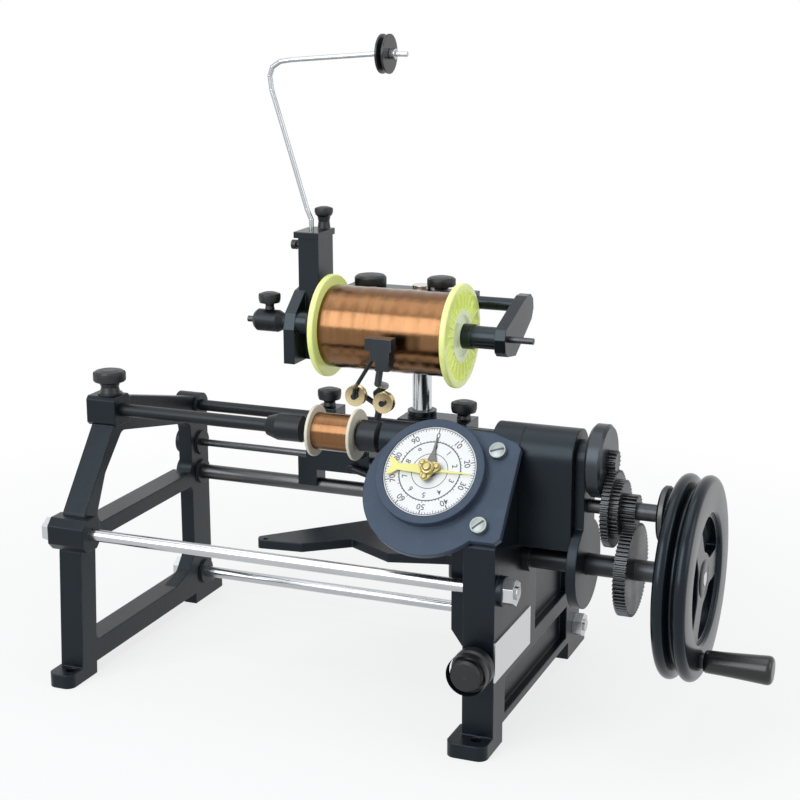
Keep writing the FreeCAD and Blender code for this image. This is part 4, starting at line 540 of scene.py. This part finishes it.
def dress(material, *nodes):
    """Gives CAD nodes a finish."""
    for name in nodes:
        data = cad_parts[name].data
        data.materials.clear()
        data.materials.append(material)
        data.polygons.foreach_set("material_index", [0] * len(data.polygons))


def settings(name):
    return getattr(bpy.context.scene, name)


# ---------------------------------------------------------------- stage
class COILWINDER_OT_stage(bpy.types.Operator):
    """Sets the floor, the soft studio light and the camera"""

    bl_idname = "coilwinder.stage"
    bl_label = "Stage"

    def execute(self, context):
        s = settings("winder_stage")
        scene = context.scene
        scene.view_settings.view_transform = "Standard"
        bm = bmesh.new()
        corners = [bm.verts.new((x, y, -0.0002)) for x, y in ((-6, -0.45), (6, -0.45), (6, 6), (-6, 6))]
        bm.faces.new(corners)
        mesh = bpy.data.meshes.new("floor")
        bm.to_mesh(mesh)
        bm.free()
        floor = bpy.data.objects.new("floor", mesh)
        scene.collection.objects.link(floor)
        f = Finish("floor_paper")
        f.set(Base_Color=f.mix(f.noise(1.5, 3), [c * 0.985 for c in s.floor], s.floor), Roughness=0.85)
        glow = f.add("Emission", None, {"Color": (1, 1, 1), "Strength": 1.0})
        distance = f.add("VectorMath", {"operation": "LENGTH"}, {0: f.place}, out="Value")
        away = f.add("MapRange", None, {0: distance, 1: 0.3, 2: 0.75, 3: 0.78, 4: 1.0})
        blend = f.add("MixShader", None, {0: f.showing() * away, 1: f.surface, 2: glow})
        f.put(f.output.inputs["Surface"], blend)
        mesh.materials.append(f.material)

        world = bpy.data.worlds.new("studio")
        scene.world = world
        world.use_nodes = True
        sky = Nodes(world.node_tree)
        room = sky.add("Background", None, {"Color": (0.92, 0.96, 1.0), "Strength": s.sky})
        white = sky.add("Background", None, {"Color": (1, 1, 1), "Strength": 1.0})
        sky.end("World", sky.add("MixShader", None, {0: sky.showing(), 1: room, 2: white}))

        aim = Vector((0.05, 0, 0.2))
        lamps = (
            ("key", s.key, (-0.6, -1.75, 1.3), 1.6),
            ("fill", s.fill, (1.9, 0.0, 0.9), 1.2),
            ("top", s.fill * 2.0, (-0.2, -0.1, 2.2), 1.8),
        )
        for name, power, spot, size in lamps:
            lamp = bpy.data.lights.new(name, "AREA")
            lamp.energy = power
            lamp.color = (0.94, 0.97, 1.0)
            lamp.size = size
            holder = bpy.data.objects.new(name, lamp)
            holder.location = spot
            holder.rotation_euler = (aim - Vector(spot)).to_track_quat("-Z", "Y").to_euler()
            scene.collection.objects.link(holder)

        lens = bpy.data.cameras.new("view")
        lens.lens = 77.94
        lens.sensor_width = 36
        lens.clip_start = 0.05
        camera = bpy.data.objects.new("view", lens)
        camera.location = (0.5478, -1.1891, 0.55)
        camera.rotation_euler = [math.radians(a) for a in (90 - 14.26, 0.17, 22.13)]
        scene.collection.objects.link(camera)
        scene.camera = camera
        return {"FINISHED"}


# ---------------------------------------------------------------- castings
class COILWINDER_OT_castings(bpy.types.Operator):
    """Enamels the end frames, gear case, brackets and clamps"""

    bl_idname = "coilwinder.castings"
    bl_label = "Castings"

    def execute(self, context):
        s = settings("winder_casting")
        colour, worn = list(s.enamel), list(s.worn)
        coat = enamel("slate_enamel", colour, worn, s.edge, s.grain)
        deep = [c * 0.8 for c in colour]
        fine = enamel("fine_enamel", deep, worn, s.edge * 0.6, s.grain * 0.5, 0.26, 0.4)
        dress(coat, "left_frame", "right_frame", "gear_case", "bearing_plate", "headstock")
        dress(coat, "traverse_lever")
        dress(fine, "carriage", "stand_block", "holder_clamp", "wire_column", "right_arm")
        # Painted sheen: the dial plate gets a lighter copy of the enamel in place of the light on its
        # leaning face.
        plate = enamel("plate_enamel_painted_sheen", list(s.plate), worn, s.edge * 0.8, s.grain * 0.6, 0.4, 0.3)
        dress(plate, "dial_plate")
        return {"FINISHED"}


# ---------------------------------------------------------------- rods and steel
class COILWINDER_OT_steel(bpy.types.Operator):
    """Finishes the rods, rails, shafts, nuts and the spool post"""

    bl_idname = "coilwinder.steel"
    bl_label = "Steel"

    def execute(self, context):
        s = settings("winder_metal")
        bright, dark, brass = list(s.bright), list(s.dark), list(s.brass)
        rod = turned("drawn_bar", [c * 0.82 for c in bright], 0.16, "X", stain=0.35)
        dress(rod, "tie_rods", "input_shaft", "lever_bolt")
        dull = turned("oiled_bar", [c * 0.17 for c in bright], 0.3, "X", stain=0.5)
        dress(dull, "guide_rail", "traverse_rod", "spindle", "crank_pin")
        shaft = turned("oiled_shaft", [c * 0.13 for c in bright], 0.34, "X", stain=0.5)
        dress(shaft, "counter_shaft", "spool_shaft")
        dress(turned("plated_post", bright, 0.1, "Z", stain=0.15), "spool_post")
        dress(turned("plated_nuts", [c * 0.9 for c in bright], 0.2, "X", scale=500), "tie_rod_nuts")
        black = blackened("black_oxide", dark)
        dress(black, "top_rail", "tailstock_quill", "tail_centre", "drive_cone")
        dress(black, "traverse_link", "lock_collar")
        dress(blackened("worn_black", [c * 2.6 for c in dark], 0.3), "spindle_disc", "guide_arm")
        dress(blackened("black_tube", [c * 1.5 for c in dark], 0.34), "input_tube", "dial_shaft")
        yellow = turned("turned_brass", brass, 0.16, "Y", scale=500, stain=0.3)
        dress(yellow, "left_guide_pulley", "right_guide_pulley", "spindle_bushes")
        wire = turned("spring_wire", [c * 0.75 for c in bright], 0.2, "Z", stain=0.3)
        dress(wire, "wire_arm")
        plate = Finish("bare_plate")
        grainy = plate.noise(1.0, 4, 0.6, plate.stretched(20, 700, 20))
        plate.set(
            Base_Color=plate.mix(grainy, (0.6, 0.61, 0.63), (0.78, 0.79, 0.8)),
            Metallic=0.9,
            Roughness=plate.level(grainy, 0.24, 0.42),
            Normal=plate.bump(grainy, 0.00002, plate.rounded(0.0003)),
        )
        dress(plate.material, "name_plate")
        return {"FINISHED"}


# ---------------------------------------------------------------- gears
class COILWINDER_OT_gears(bpy.types.Operator):
    """Oils the cut gears"""

    bl_idname = "coilwinder.gears"
    bl_label = "Gears"

    def execute(self, context):
        f = Finish("cut_gear")
        grease = f.steps(f.noise(38, 6, 0.6), (0.4, (0, 0, 0)), (0.66, (1, 1, 1)))
        lines = f.noise(1.0, 3, 0.7, f.stretched(900, 8, 8))
        rub = f.edges(0.0004)
        base = f.mix(grease, (0.07, 0.075, 0.08), (0.03, 0.032, 0.034))
        f.set(
            Base_Color=f.mix(rub * 0.6, base, (0.3, 0.31, 0.32)),
            Metallic=0.85,
            Roughness=f.level(grease, 0.36, 0.22) + lines * 0.08,
            Normal=f.bump(lines, 0.00004, f.rounded(0.0003)),
        )
        dress(f.material, "input_gear", "step_gear")
        return {"FINISHED"}


# ---------------------------------------------------------------- handwheel
class COILWINDER_OT_handwheel(bpy.types.Operator):
    """Builds the double-rimmed handwheel and its crank handle"""

    bl_idname = "coilwinder.handwheel"
    bl_label = "Handwheel"

    def execute(self, context):
        s = settings("winder_casting")
        low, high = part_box("handwheel")
        width, outer, inner, valley = 0.024, 0.0733, 0.0465, 0.0638
        centre = Vector((high.x - width, INPUT_LINE.y, INPUT_LINE.z))
        lip, heel = 0.0048, 0.0026
        rim = arc((inner + heel, heel), heel, 180, 270, 6)
        rim += arc((outer - lip, lip), lip, -90, 58, 10)
        rim += [(valley, width / 2 - 0.001), (valley, width / 2 + 0.001)]
        rim += arc((outer - lip, width - lip), lip, -58, 90, 10)
        rim += arc((inner + heel, width - heel), heel, 90, 180, 6)
        bm = bmesh.new()
        lathe(bm, rim, centre, (1, 0, 0), 180, closed=True)
        left = low.x - centre.x
        front = width - 0.003
        hub = [(0.0051, left + 0.0002), (0.012, left + 0.0002), (0.013, left + 0.0012),
               (0.013, front - 0.0005), (0.0138, front + 0.0002), (0.0126, front + 0.0009),
               (0.0051, front + 0.0009)]
        lathe(bm, hub, centre, (1, 0, 0), 72, closed=True)
        windows = [kidney(math.radians(60 + 120 * n), 0.019, 0.044, 0.0085) for n in range(3)]
        upright = Matrix(((0, 0, 1), (1, 0, 0), (0, 1, 0))).to_4x4()
        web = Matrix.Translation(centre + Vector((front - 0.008, 0, 0))) @ upright
        pierced(bm, [circle(0.048, 120), circle(0.0125, 48), *windows], 0.008, web)
        colour = [c * 1.1 for c in s.enamel]
        paint = enamel("wheel_enamel", colour, list(s.worn), 0.0008, s.grain * 0.4, 0.2)
        finish_mesh("handwheel_cast", bm, "crank", paint, ("handwheel",), bevel=0.0009)
        grip = Finish("grip_black")
        haze = grip.noise(30, 4)
        grip.set(
            Base_Color=grip.mix(haze, (0.006, 0.006, 0.007), (0.012, 0.012, 0.013)),
            Roughness=grip.level(haze, 0.2, 0.3),
            Normal=grip.rounded(0.0008),
        )
        dress(grip.material, "wire_sheave")
        low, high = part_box("crank_handle")
        length, reach = high.x - low.x, (high.z - low.z) / 2
        start = Vector((low.x, (low.y + high.y) / 2, (low.z + high.z) / 2))
        bm = bmesh.new()
        bore, seat = 0.00405, length - 0.005
        body = [(bore, 0.0), (0.0072, 0.0), (0.0081, 0.0012), (0.0083, 0.004), (0.0084, 0.008)]
        for n in range(1, 9):
            share = n / 8
            body.append((0.0084 + (reach - 0.0084) * share ** 1.2, 0.008 + (length - 0.0125) * share))
        body += arc((reach - 0.0035, length - 0.0035), 0.0035, 0, 90, 6)
        body += [(0, length), (0, seat), (bore, seat)]
        lathe(bm, body, start, (1, 0, 0), 72, closed=True)
        finish_mesh("crank_grip", bm, "handle", grip.material, ("crank_handle",))
        return {"FINISHED"}


# ---------------------------------------------------------------- dial
def dial_height(node):
    """Extent of a node along the dial's normal."""
    reach = [v.co.dot(DIAL_OUT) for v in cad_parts[node].data.vertices]
    return max(reach) - min(reach)


def dial_level(node):
    """Lowest level of a node along the dial's normal."""
    return min(v.co.dot(DIAL_OUT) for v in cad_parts[node].data.vertices)


def screw_boxes():
    """Boxes of the two plate screws, the upper one first."""
    points = [v.co.copy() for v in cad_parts["plate_screws"].data.vertices]
    split = (max(p.z for p in points) + min(p.z for p in points)) / 2
    boxes = []
    for group in ([p for p in points if p.z > split], [p for p in points if p.z <= split]):
        low = Vector([min(p[i] for p in group) for i in range(3)])
        high = Vector([max(p[i] for p in group) for i in range(3)])
        boxes.append((low, high))
    return boxes


class COILWINDER_OT_dial(bpy.types.Operator):
    """Prints the turns scale and finishes the pointers"""

    bl_idname = "coilwinder.dial"
    bl_label = "Dial"

    def execute(self, context):
        s = settings("winder_dial")
        face = Finish("dial_enamel")
        age = face.noise(40, 5)
        face.set(
            Base_Color=face.mix(age, [c * 0.95 for c in s.face], s.face),
            Roughness=face.level(age, 0.3, 0.42),
            Coat_Weight=0.25,
            Normal=face.bump(face.noise(300, 3), 0.00001),
        )
        dress(face.material, "dial_face")
        ink = moulded("dial_ink", list(s.ink), 0.5, 0.0001)
        surface = DIAL_CENTRE + DIAL_OUT * (dial_height("dial_face") / 2 + 0.00004)
        place = Matrix.Translation(surface) @ DIAL_TURN
        bm = bmesh.new()

        def ring(radius, width):
            inner, outer = circle(radius, 180), circle(radius + width, 180)
            for n in range(180):
                corners = (inner[n - 1], inner[n], outer[n], outer[n - 1])
                bm.faces.new([bm.verts.new(place @ Vector((u, v, 0))) for u, v in corners])

        def tick(angle, start, end, width):
            along = Vector((math.cos(angle), math.sin(angle), 0))
            across = Vector((-along.y, along.x, 0)) * width / 2
            corners = (along * start - across, along * end - across,
                       along * end + across, along * start + across)
            bm.faces.new([bm.verts.new(place @ c) for c in corners])

        ring(0.0332, 0.0005)
        ring(0.0224, 0.0008)
        ring(0.0132, 0.0005)
        for n in range(s.divisions):
            angle = math.pi / 2 - 2 * math.pi * n / s.divisions
            reach = 0.0302 if n % 10 == 0 else (0.031 if n % 5 == 0 else 0.0318)
            tick(angle, reach, 0.0333, 0.0008 if n % 10 == 0 else 0.0004)
        for n in range(60):
            angle = math.pi / 2 - 2 * math.pi * n / 60
            tick(angle, 0.0226, 0.0238 if n % 5 else 0.0247, 0.0005)
        finish_mesh("dial_scale", bm, "base", ink, smooth=False)
        for n in range(10):
            angle = math.pi / 2 - 2 * math.pi * n / 10
            numbers = (("outer", 0.0275, 0.0062, n * 10), ("inner", 0.0184, 0.0056, n))
            for scale, reach, size, value in numbers:
                text = bpy.data.curves.new(f"dial_number_{value}_{n}", "FONT")
                text.body = str(value)
                text.size = size
                text.align_x = "CENTER"
                text.align_y = "CENTER"
                text.extrude = 0.00001
                text.offset = 0.00006
                number = bpy.data.objects.new(f"dial_number_{scale}_{n}", text)
                context.scene.collection.objects.link(number)
                text.materials.append(ink)
                spot = Vector((reach * math.cos(angle), reach * math.sin(angle), 0))
                turn = Matrix.Rotation(angle - math.pi / 2, 4, "Z")
                number.matrix_world = place @ Matrix.Translation(spot) @ turn
                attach(number, "base")
        paint = moulded("pointer_paint", list(s.pointer), 0.35, 0.0002, clear=0.3)
        hub_centre = DIAL_CENTRE - DIAL_OUT * DIAL_CENTRE.dot(DIAL_OUT)
        level = dial_level("long_pointer")
        bm = bmesh.new()
        tail = [(-0.004, -0.0036), (-0.0235, -0.0026), (-0.027, -0.0058), (-0.0318, -0.0073),
                (-0.029, 0), (-0.0318, 0.0073), (-0.027, 0.0058), (-0.0235, 0.0026), (-0.004, 0.0036)]
        nose = [(0.004, 0.0012), (0.0318, 0.0004), (0.0318, -0.0004), (0.004, -0.0012)]
        flat = Matrix.Translation(hub_centre + DIAL_OUT * level) @ DIAL_TURN
        slab(bm, [*tail, *nose], 0.0008, flat)
        finish_mesh(
            "long_hand_blade", bm, "long_hand", paint, ("long_pointer",), bevel=0.0002)
        low_level, tall = dial_level("short_pointer"), dial_height("short_pointer")
        bm = bmesh.new()
        blade = [(-0.0052, -0.0035), (0.0052, -0.0035), (0.0034, 0.008), (0.001, 0.0155),
                 (0.0005, 0.0262), (-0.0005, 0.0262), (-0.001, 0.0155), (-0.0034, 0.008)]
        thick = 0.0008
        under = Matrix.Translation(hub_centre + DIAL_OUT * (low_level + tall - thick))
        slab(bm, blade, thick, under @ DIAL_TURN)
        sleeve = [(0.0033, 0.0), (0.0052, 0.0), (0.0052, tall - 0.0001), (0.0033, tall - 0.0001)]
        lathe(bm, sleeve, hub_centre + DIAL_OUT * low_level, DIAL_OUT, 36, closed=True)
        grey = turned("pointer_steel", [0.12, 0.12, 0.11], 0.4, "Y", metallic=0.7)
        finish_mesh(
            "short_hand_blade", bm, "short_hand", grey, ("short_pointer",), bevel=0.0002)
        hub_brass = turned("hub_brass", [0.36, 0.3, 0.13], 0.3, "Z", scale=700)
        bm = bmesh.new()
        lobes = []
        for n in range(72):
            turn = 2 * math.pi * n / 72
            reach = 0.0074 + 0.0019 * math.cos(3 * (turn - math.radians(140)))
            lobes.append((reach * math.cos(turn), reach * math.sin(turn)))
        slab(bm, lobes, 0.0022, Matrix.Translation(hub_centre + DIAL_OUT * (level + 0.0009)) @ DIAL_TURN)
        boss = [(0.0052, 0.0029), (0.005, 0.0048), (0.0042, 0.0054), (0.0031, 0.0054), (0.0031, 0.0066),
                (0.0024, 0.0072), (0, 0.0072)]
        lathe(bm, boss, hub_centre + DIAL_OUT * level, DIAL_OUT, 48)
        for n in range(3):
            turn = math.radians(140 + 120 * n)
            spot = DIAL_RIGHT * math.cos(turn) + DIAL_UP * math.sin(turn)
            screw = [(0.0021, 0), (0.0021, 0.0012), (0.0015, 0.0018), (0, 0.0018)]
            lathe(bm, screw, hub_centre + DIAL_OUT * (level + 0.003) + spot * 0.0066, DIAL_OUT, 20)
        finish_mesh("dial_hub", bm, "long_hand", hub_brass, bevel=0.0004)
        chrome = turned("screw_nickel", [0.26, 0.29, 0.28], 0.42, "Y", scale=300)
        slots = bmesh.new()
        for low, high in screw_boxes():
            spot = (low + high) / 2
            profile = [(0.0061, -0.0018), (0.0061, 0.0010), (0.0056, 0.0019), (0.0040, 0.0025), (0, 0.0027)]
            lathe(slots, profile, spot, DIAL_OUT, 40)
        finish_mesh("plate_screw_heads", slots, "base", chrome)
        dress(chrome, "plate_screws")
        bm = bmesh.new()
        for index, (low, high) in enumerate(screw_boxes()):
            spot = (low + high) / 2 + DIAL_OUT * 0.0024
            turn = Matrix.Rotation(math.radians(20 + index * 25), 4, "Z")
            bar = Matrix.Translation(spot) @ DIAL_TURN @ turn
            slab(bm, [(-0.005, -0.0006), (0.005, -0.0006), (0.005, 0.0006), (-0.005, 0.0006)], 0.0005, bar)
        finish_mesh("plate_screw_slots", bm, "base", ink, smooth=False)
        return {"FINISHED"}


# ---------------------------------------------------------------- knobs
class COILWINDER_OT_knobs(bpy.types.Operator):
    """Turns and knurls the clamp knobs"""

    bl_idname = "coilwinder.knobs"
    bl_label = "Clamp knobs"

    def execute(self, context):
        black = moulded("knob_black", (0.004, 0.005, 0.0065), 0.38, 0.0006)
        bodies = {
            "quill_knob": "quill_clamp",
            "leg_knob": "leg_clamp",
            "carriage_knob": "carriage_clamp",
            "stand_knob": "stand_clamp",
            "holder_knob_left": "holder_clamp_left",
            "holder_knob_right": "holder_clamp_right",
            "collar_knob": "collar_clamp",
            "column_knob": "column_clamp",
        }
        dress(black, *bodies, "thumb_screw")
        spacing, depth = 0.0016, 0.0003
        for name, body in bodies.items():
            low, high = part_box(name)
            axis = Vector((0, -1, 0)) if name == "leg_knob" else Vector((0, 0, 1))
            radius = (high.x - low.x) / 2
            height = radius * 0.5
            half = abs((high - low).dot(axis)) / 2
            turn = Matrix.Translation((low + high) / 2 + axis * (half - height * 1.35)) @ basis(axis)
            count = max(16, int(radius * 2 * math.pi / spacing))
            steps = count * 4
            bm = bmesh.new()
            rings = []
            for share, tall in ((0.0, 0.0), (0.12, 1.0), (0.88, 1.0), (1.0, 0.0)):
                ring = []
                for n in range(steps):
                    angle = 2 * math.pi * n / steps
                    tooth = 0.5 + 0.5 * math.cos(angle * count)
                    reach = radius * 0.985 + depth * tall * tooth
                    spot = Vector((reach * math.cos(angle), reach * math.sin(angle), share * height))
                    ring.append(bm.verts.new(turn @ spot))
                rings.append(ring)
            for a, b in zip(rings, rings[1:]):
                for n in range(steps):
                    m = (n + 1) % steps
                    bm.faces.new((a[n], a[m], b[m], b[n]))
            finish_mesh(f"{name}_knurl", bm, body, black)
        return {"FINISHED"}


# ---------------------------------------------------------------- supply spool
class COILWINDER_OT_supply_spool(bpy.types.Operator):
    """Moulds the ribbed supply spool and winds it with copper wire"""

    bl_idname = "coilwinder.supply_spool"
    bl_label = "Supply spool"

    def execute(self, context):
        s = settings("winder_spool")
        w = settings("winder_wire")
        green = Finish("lime_plastic_painted_glow")
        cloud = green.noise(16, 4)
        lime = green.mix(cloud, [c * 0.9 for c in s.flange], [min(1, c * 1.1) for c in s.flange])
        axis = (0, SPOOL_LINE.y, SPOOL_LINE.z)
        radial = green.stretched(0, 1, 1)
        reach = green.add("VectorMath", {"operation": "DISTANCE"}, {0: radial, 1: axis}, out="Value")
        tint = green.mix(green.add("MapRange", None, {0: reach, 1: 0.019, 2: 0.022}), s.hub, lime)
        green.set(
            Base_Color=tint,
            Roughness=green.level(cloud, 0.24, 0.36),
            # Painted glow: the flange colour is also given off as light, standing in for light shining
            # through the plastic.
            Emission_Color=tint,
            Emission_Strength=0.24,
            Subsurface_Weight=0.25,
            Subsurface_Radius=(0.006, 0.008, 0.002),
            Subsurface_Scale=1.0,
            Coat_Weight=0.3,
            Normal=green.bump(green.noise(200, 3), 0.00003),
        )
        low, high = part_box("spool_winding")
        left_in, right_in = low.x, high.x
        radius = 0.041
        centre = Vector((0, SPOOL_LINE.y, SPOOL_LINE.z))
        bm = bmesh.new()
        thick = 0.005
        shaft = 0.0028
        for side, inside in ((-1, left_in), (1, right_in)):
            base = centre + Vector((inside, 0, 0))
            out = Vector((side, 0, 0))
            profile = [(shaft, 0.0), (0.012, 0.0), (radius - 0.0012, 0.0)]
            profile += arc((radius - 0.0012, 0.0012), 0.0012, -90, 0, 4)
            profile += arc((radius - 0.0014, thick - 0.0014), 0.0014, 0, 90, 4)
            profile += [
                (radius - 0.0052, thick), (radius - 0.006, thick - 0.0024), (0.0215, thick - 0.0024),
                (0.0205, thick), (0.0165, thick), (0.0155, thick - 0.002), (0.0085, thick - 0.002),
                (0.0075, thick), (shaft, thick)]
            lathe(bm, profile, base, out, 128, closed=True)
            for n in range(s.ribs):
                angle = 2 * math.pi * (n + 0.5) / s.ribs
                along = Vector((0, math.cos(angle), math.sin(angle)))
                across = Vector((0, -math.sin(angle), math.cos(angle)))
                turn = Matrix((along, across, out)).transposed().to_4x4()
                place = Matrix.Translation(base + out * (thick - 0.0025)) @ turn
                foot, tip = 0.021, radius - 0.0056
                rib = [(foot, -0.0006), (tip, -0.0009), (tip, 0.0009), (foot, 0.0006)]
                slab(bm, rib, 0.0023, place)
        core = [(0.0119, 0), (0.0119, right_in - left_in)]
        lathe(bm, core, centre + Vector((left_in, 0, 0)), (1, 0, 0), 64)
        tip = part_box("supply_spool")[0].x - left_in
        boss = [(shaft, tip + 0.0001), (0.0058, tip + 0.0001), (0.006, tip + 0.0006), (0.006, -thick),
                (shaft, -thick)]
        lathe(bm, boss, centre + Vector((left_in, 0, 0)), (1, 0, 0), 40, closed=True)
        finish_mesh(
            "supply_spool_moulding", bm, "spool", green.material, ("supply_spool",))

        copper = wound("spool_wire", list(w.copper), list(w.glow), w.pitch, left_in)
        length = right_in - left_in
        count = int(length / w.pitch) * 4
        bm = bmesh.new()
        outer = (high.z - low.z) / 2 - 0.0002
        profile = [(0.0122, 0.0001)]
        for n in range(count + 1):
            t = n / count
            x = 0.0001 + t * (length - 0.0002)
            wave = 0.00012 * math.sin(t * 23.0) + 0.00008 * math.sin(t * 61.0 + 1.3)
            bead = 0.00003 * abs(math.sin(math.pi * (x / w.pitch)))
            ends = 0.0006 * (math.exp(-x / 0.002) + math.exp(-(length - x) / 0.002))
            profile.append((outer - 0.0004 + wave + bead - ends, x))
        profile.append((0.0122, length - 0.0001))
        lathe(bm, profile, centre + Vector((left_in, 0, 0)), (1, 0, 0), 80)
        finish_mesh("supply_winding", bm, "spool", copper, ("spool_winding",))
        return {"FINISHED"}


# ---------------------------------------------------------------- bobbin
class COILWINDER_OT_bobbin(bpy.types.Operator):
    """Moulds the coil bobbin and winds it"""

    bl_idname = "coilwinder.bobbin"
    bl_label = "Coil bobbin"

    def execute(self, context):
        s = settings("winder_spool")
        w = settings("winder_wire")
        cream = moulded("cream_plastic", list(s.bobbin), 0.42, 0.0005, speck=0.06)
        low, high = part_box("bobbin")
        wire_low, wire_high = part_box("bobbin_wire")
        centre = Vector((0, WINDING_LINE.y, WINDING_LINE.z))
        bm = bmesh.new()
        radius = (high.z - low.z) / 2
        bore = 0.00315
        for side, inside, outside in ((-1, wire_low.x, low.x), (1, wire_high.x, high.x)):
            thick = abs(outside - inside)
            profile = [(bore, 0), (radius - 0.0007, 0)] + arc((radius - 0.0007, 0.0007), 0.0007, -90, 0, 3)
            profile += arc((radius - 0.0008, thick - 0.0008), 0.0008, 0, 90, 3)
            profile += [(0.009, thick), (0.0088, thick - 0.0005), (0.0062, thick - 0.0005), (0.006, thick),
                        (bore, thick)]
            lathe(bm, profile, centre + Vector((inside, 0, 0)), (side, 0, 0), 96, closed=True)
        length = wire_high.x - wire_low.x
        start = centre + Vector((wire_low.x, 0, 0))
        lathe(bm, [(0.0079, 0), (0.0079, length)], start, (1, 0, 0), 48)
        finish_mesh("bobbin_moulding", bm, "winding_spindle", cream, ("bobbin",))
        pitch = w.pitch * 0.8
        copper = wound("bobbin_copper", list(w.copper), list(w.glow), pitch, wire_low.x)
        outer = (wire_high.z - wire_low.z) / 2 - 0.0001
        count = int(length / pitch) * 6
        profile = [(0.0081, 0.0001)]
        for n in range(count + 1):
            x = 0.0001 + n / count * (length - 0.0002)
            profile.append((outer - 0.00015 + 0.00003 * abs(math.sin(math.pi * x / pitch)), x))
        profile.append((0.0081, length - 0.0001))
        bm = bmesh.new()
        lathe(bm, profile, start, (1, 0, 0), 80)
        finish_mesh("bobbin_winding", bm, "winding_spindle", copper, ("bobbin_wire",))
        return {"FINISHED"}


PARTS = (
    COILWINDER_OT_stage,
    COILWINDER_OT_castings,
    COILWINDER_OT_steel,
    COILWINDER_OT_gears,
    COILWINDER_OT_handwheel,
    COILWINDER_OT_dial,
    COILWINDER_OT_knobs,
    COILWINDER_OT_supply_spool,
    COILWINDER_OT_bobbin,
)


class COILWINDER_PT_panel(bpy.types.Panel):
    """Lists the machine's parts and their settings"""

    bl_idname = "COILWINDER_PT_panel"
    bl_label = "Coil winder"
    bl_space_type = "VIEW_3D"
    bl_region_type = "UI"
    bl_category = "Coil winder"

    def draw(self, context):
        for group in GROUPS:
            box = self.layout.box()
            for name in GROUPS[group].__annotations__:
                box.prop(getattr(context.scene, group), name)
        for part in PARTS:
            self.layout.operator(part.bl_idname)


def register():
    for group in GROUPS.values():
        bpy.utils.register_class(group)
    for name, group in GROUPS.items():
        setattr(bpy.types.Scene, name, PointerProperty(type=group))
    for part in (*PARTS, COILWINDER_PT_panel):
        bpy.utils.register_class(part)


def unregister():
    for part in reversed((*PARTS, COILWINDER_PT_panel)):
        bpy.utils.unregister_class(part)
    for name, group in reversed(GROUPS.items()):
        delattr(bpy.types.Scene, name)
        bpy.utils.unregister_class(group)


def main():
    register()
    for part in PARTS:
        family, name = part.bl_idname.split(".")
        getattr(getattr(bpy.ops, family), name)()
    bpy.context.view_layer.update()


if __name__ == "__main__":
    main()
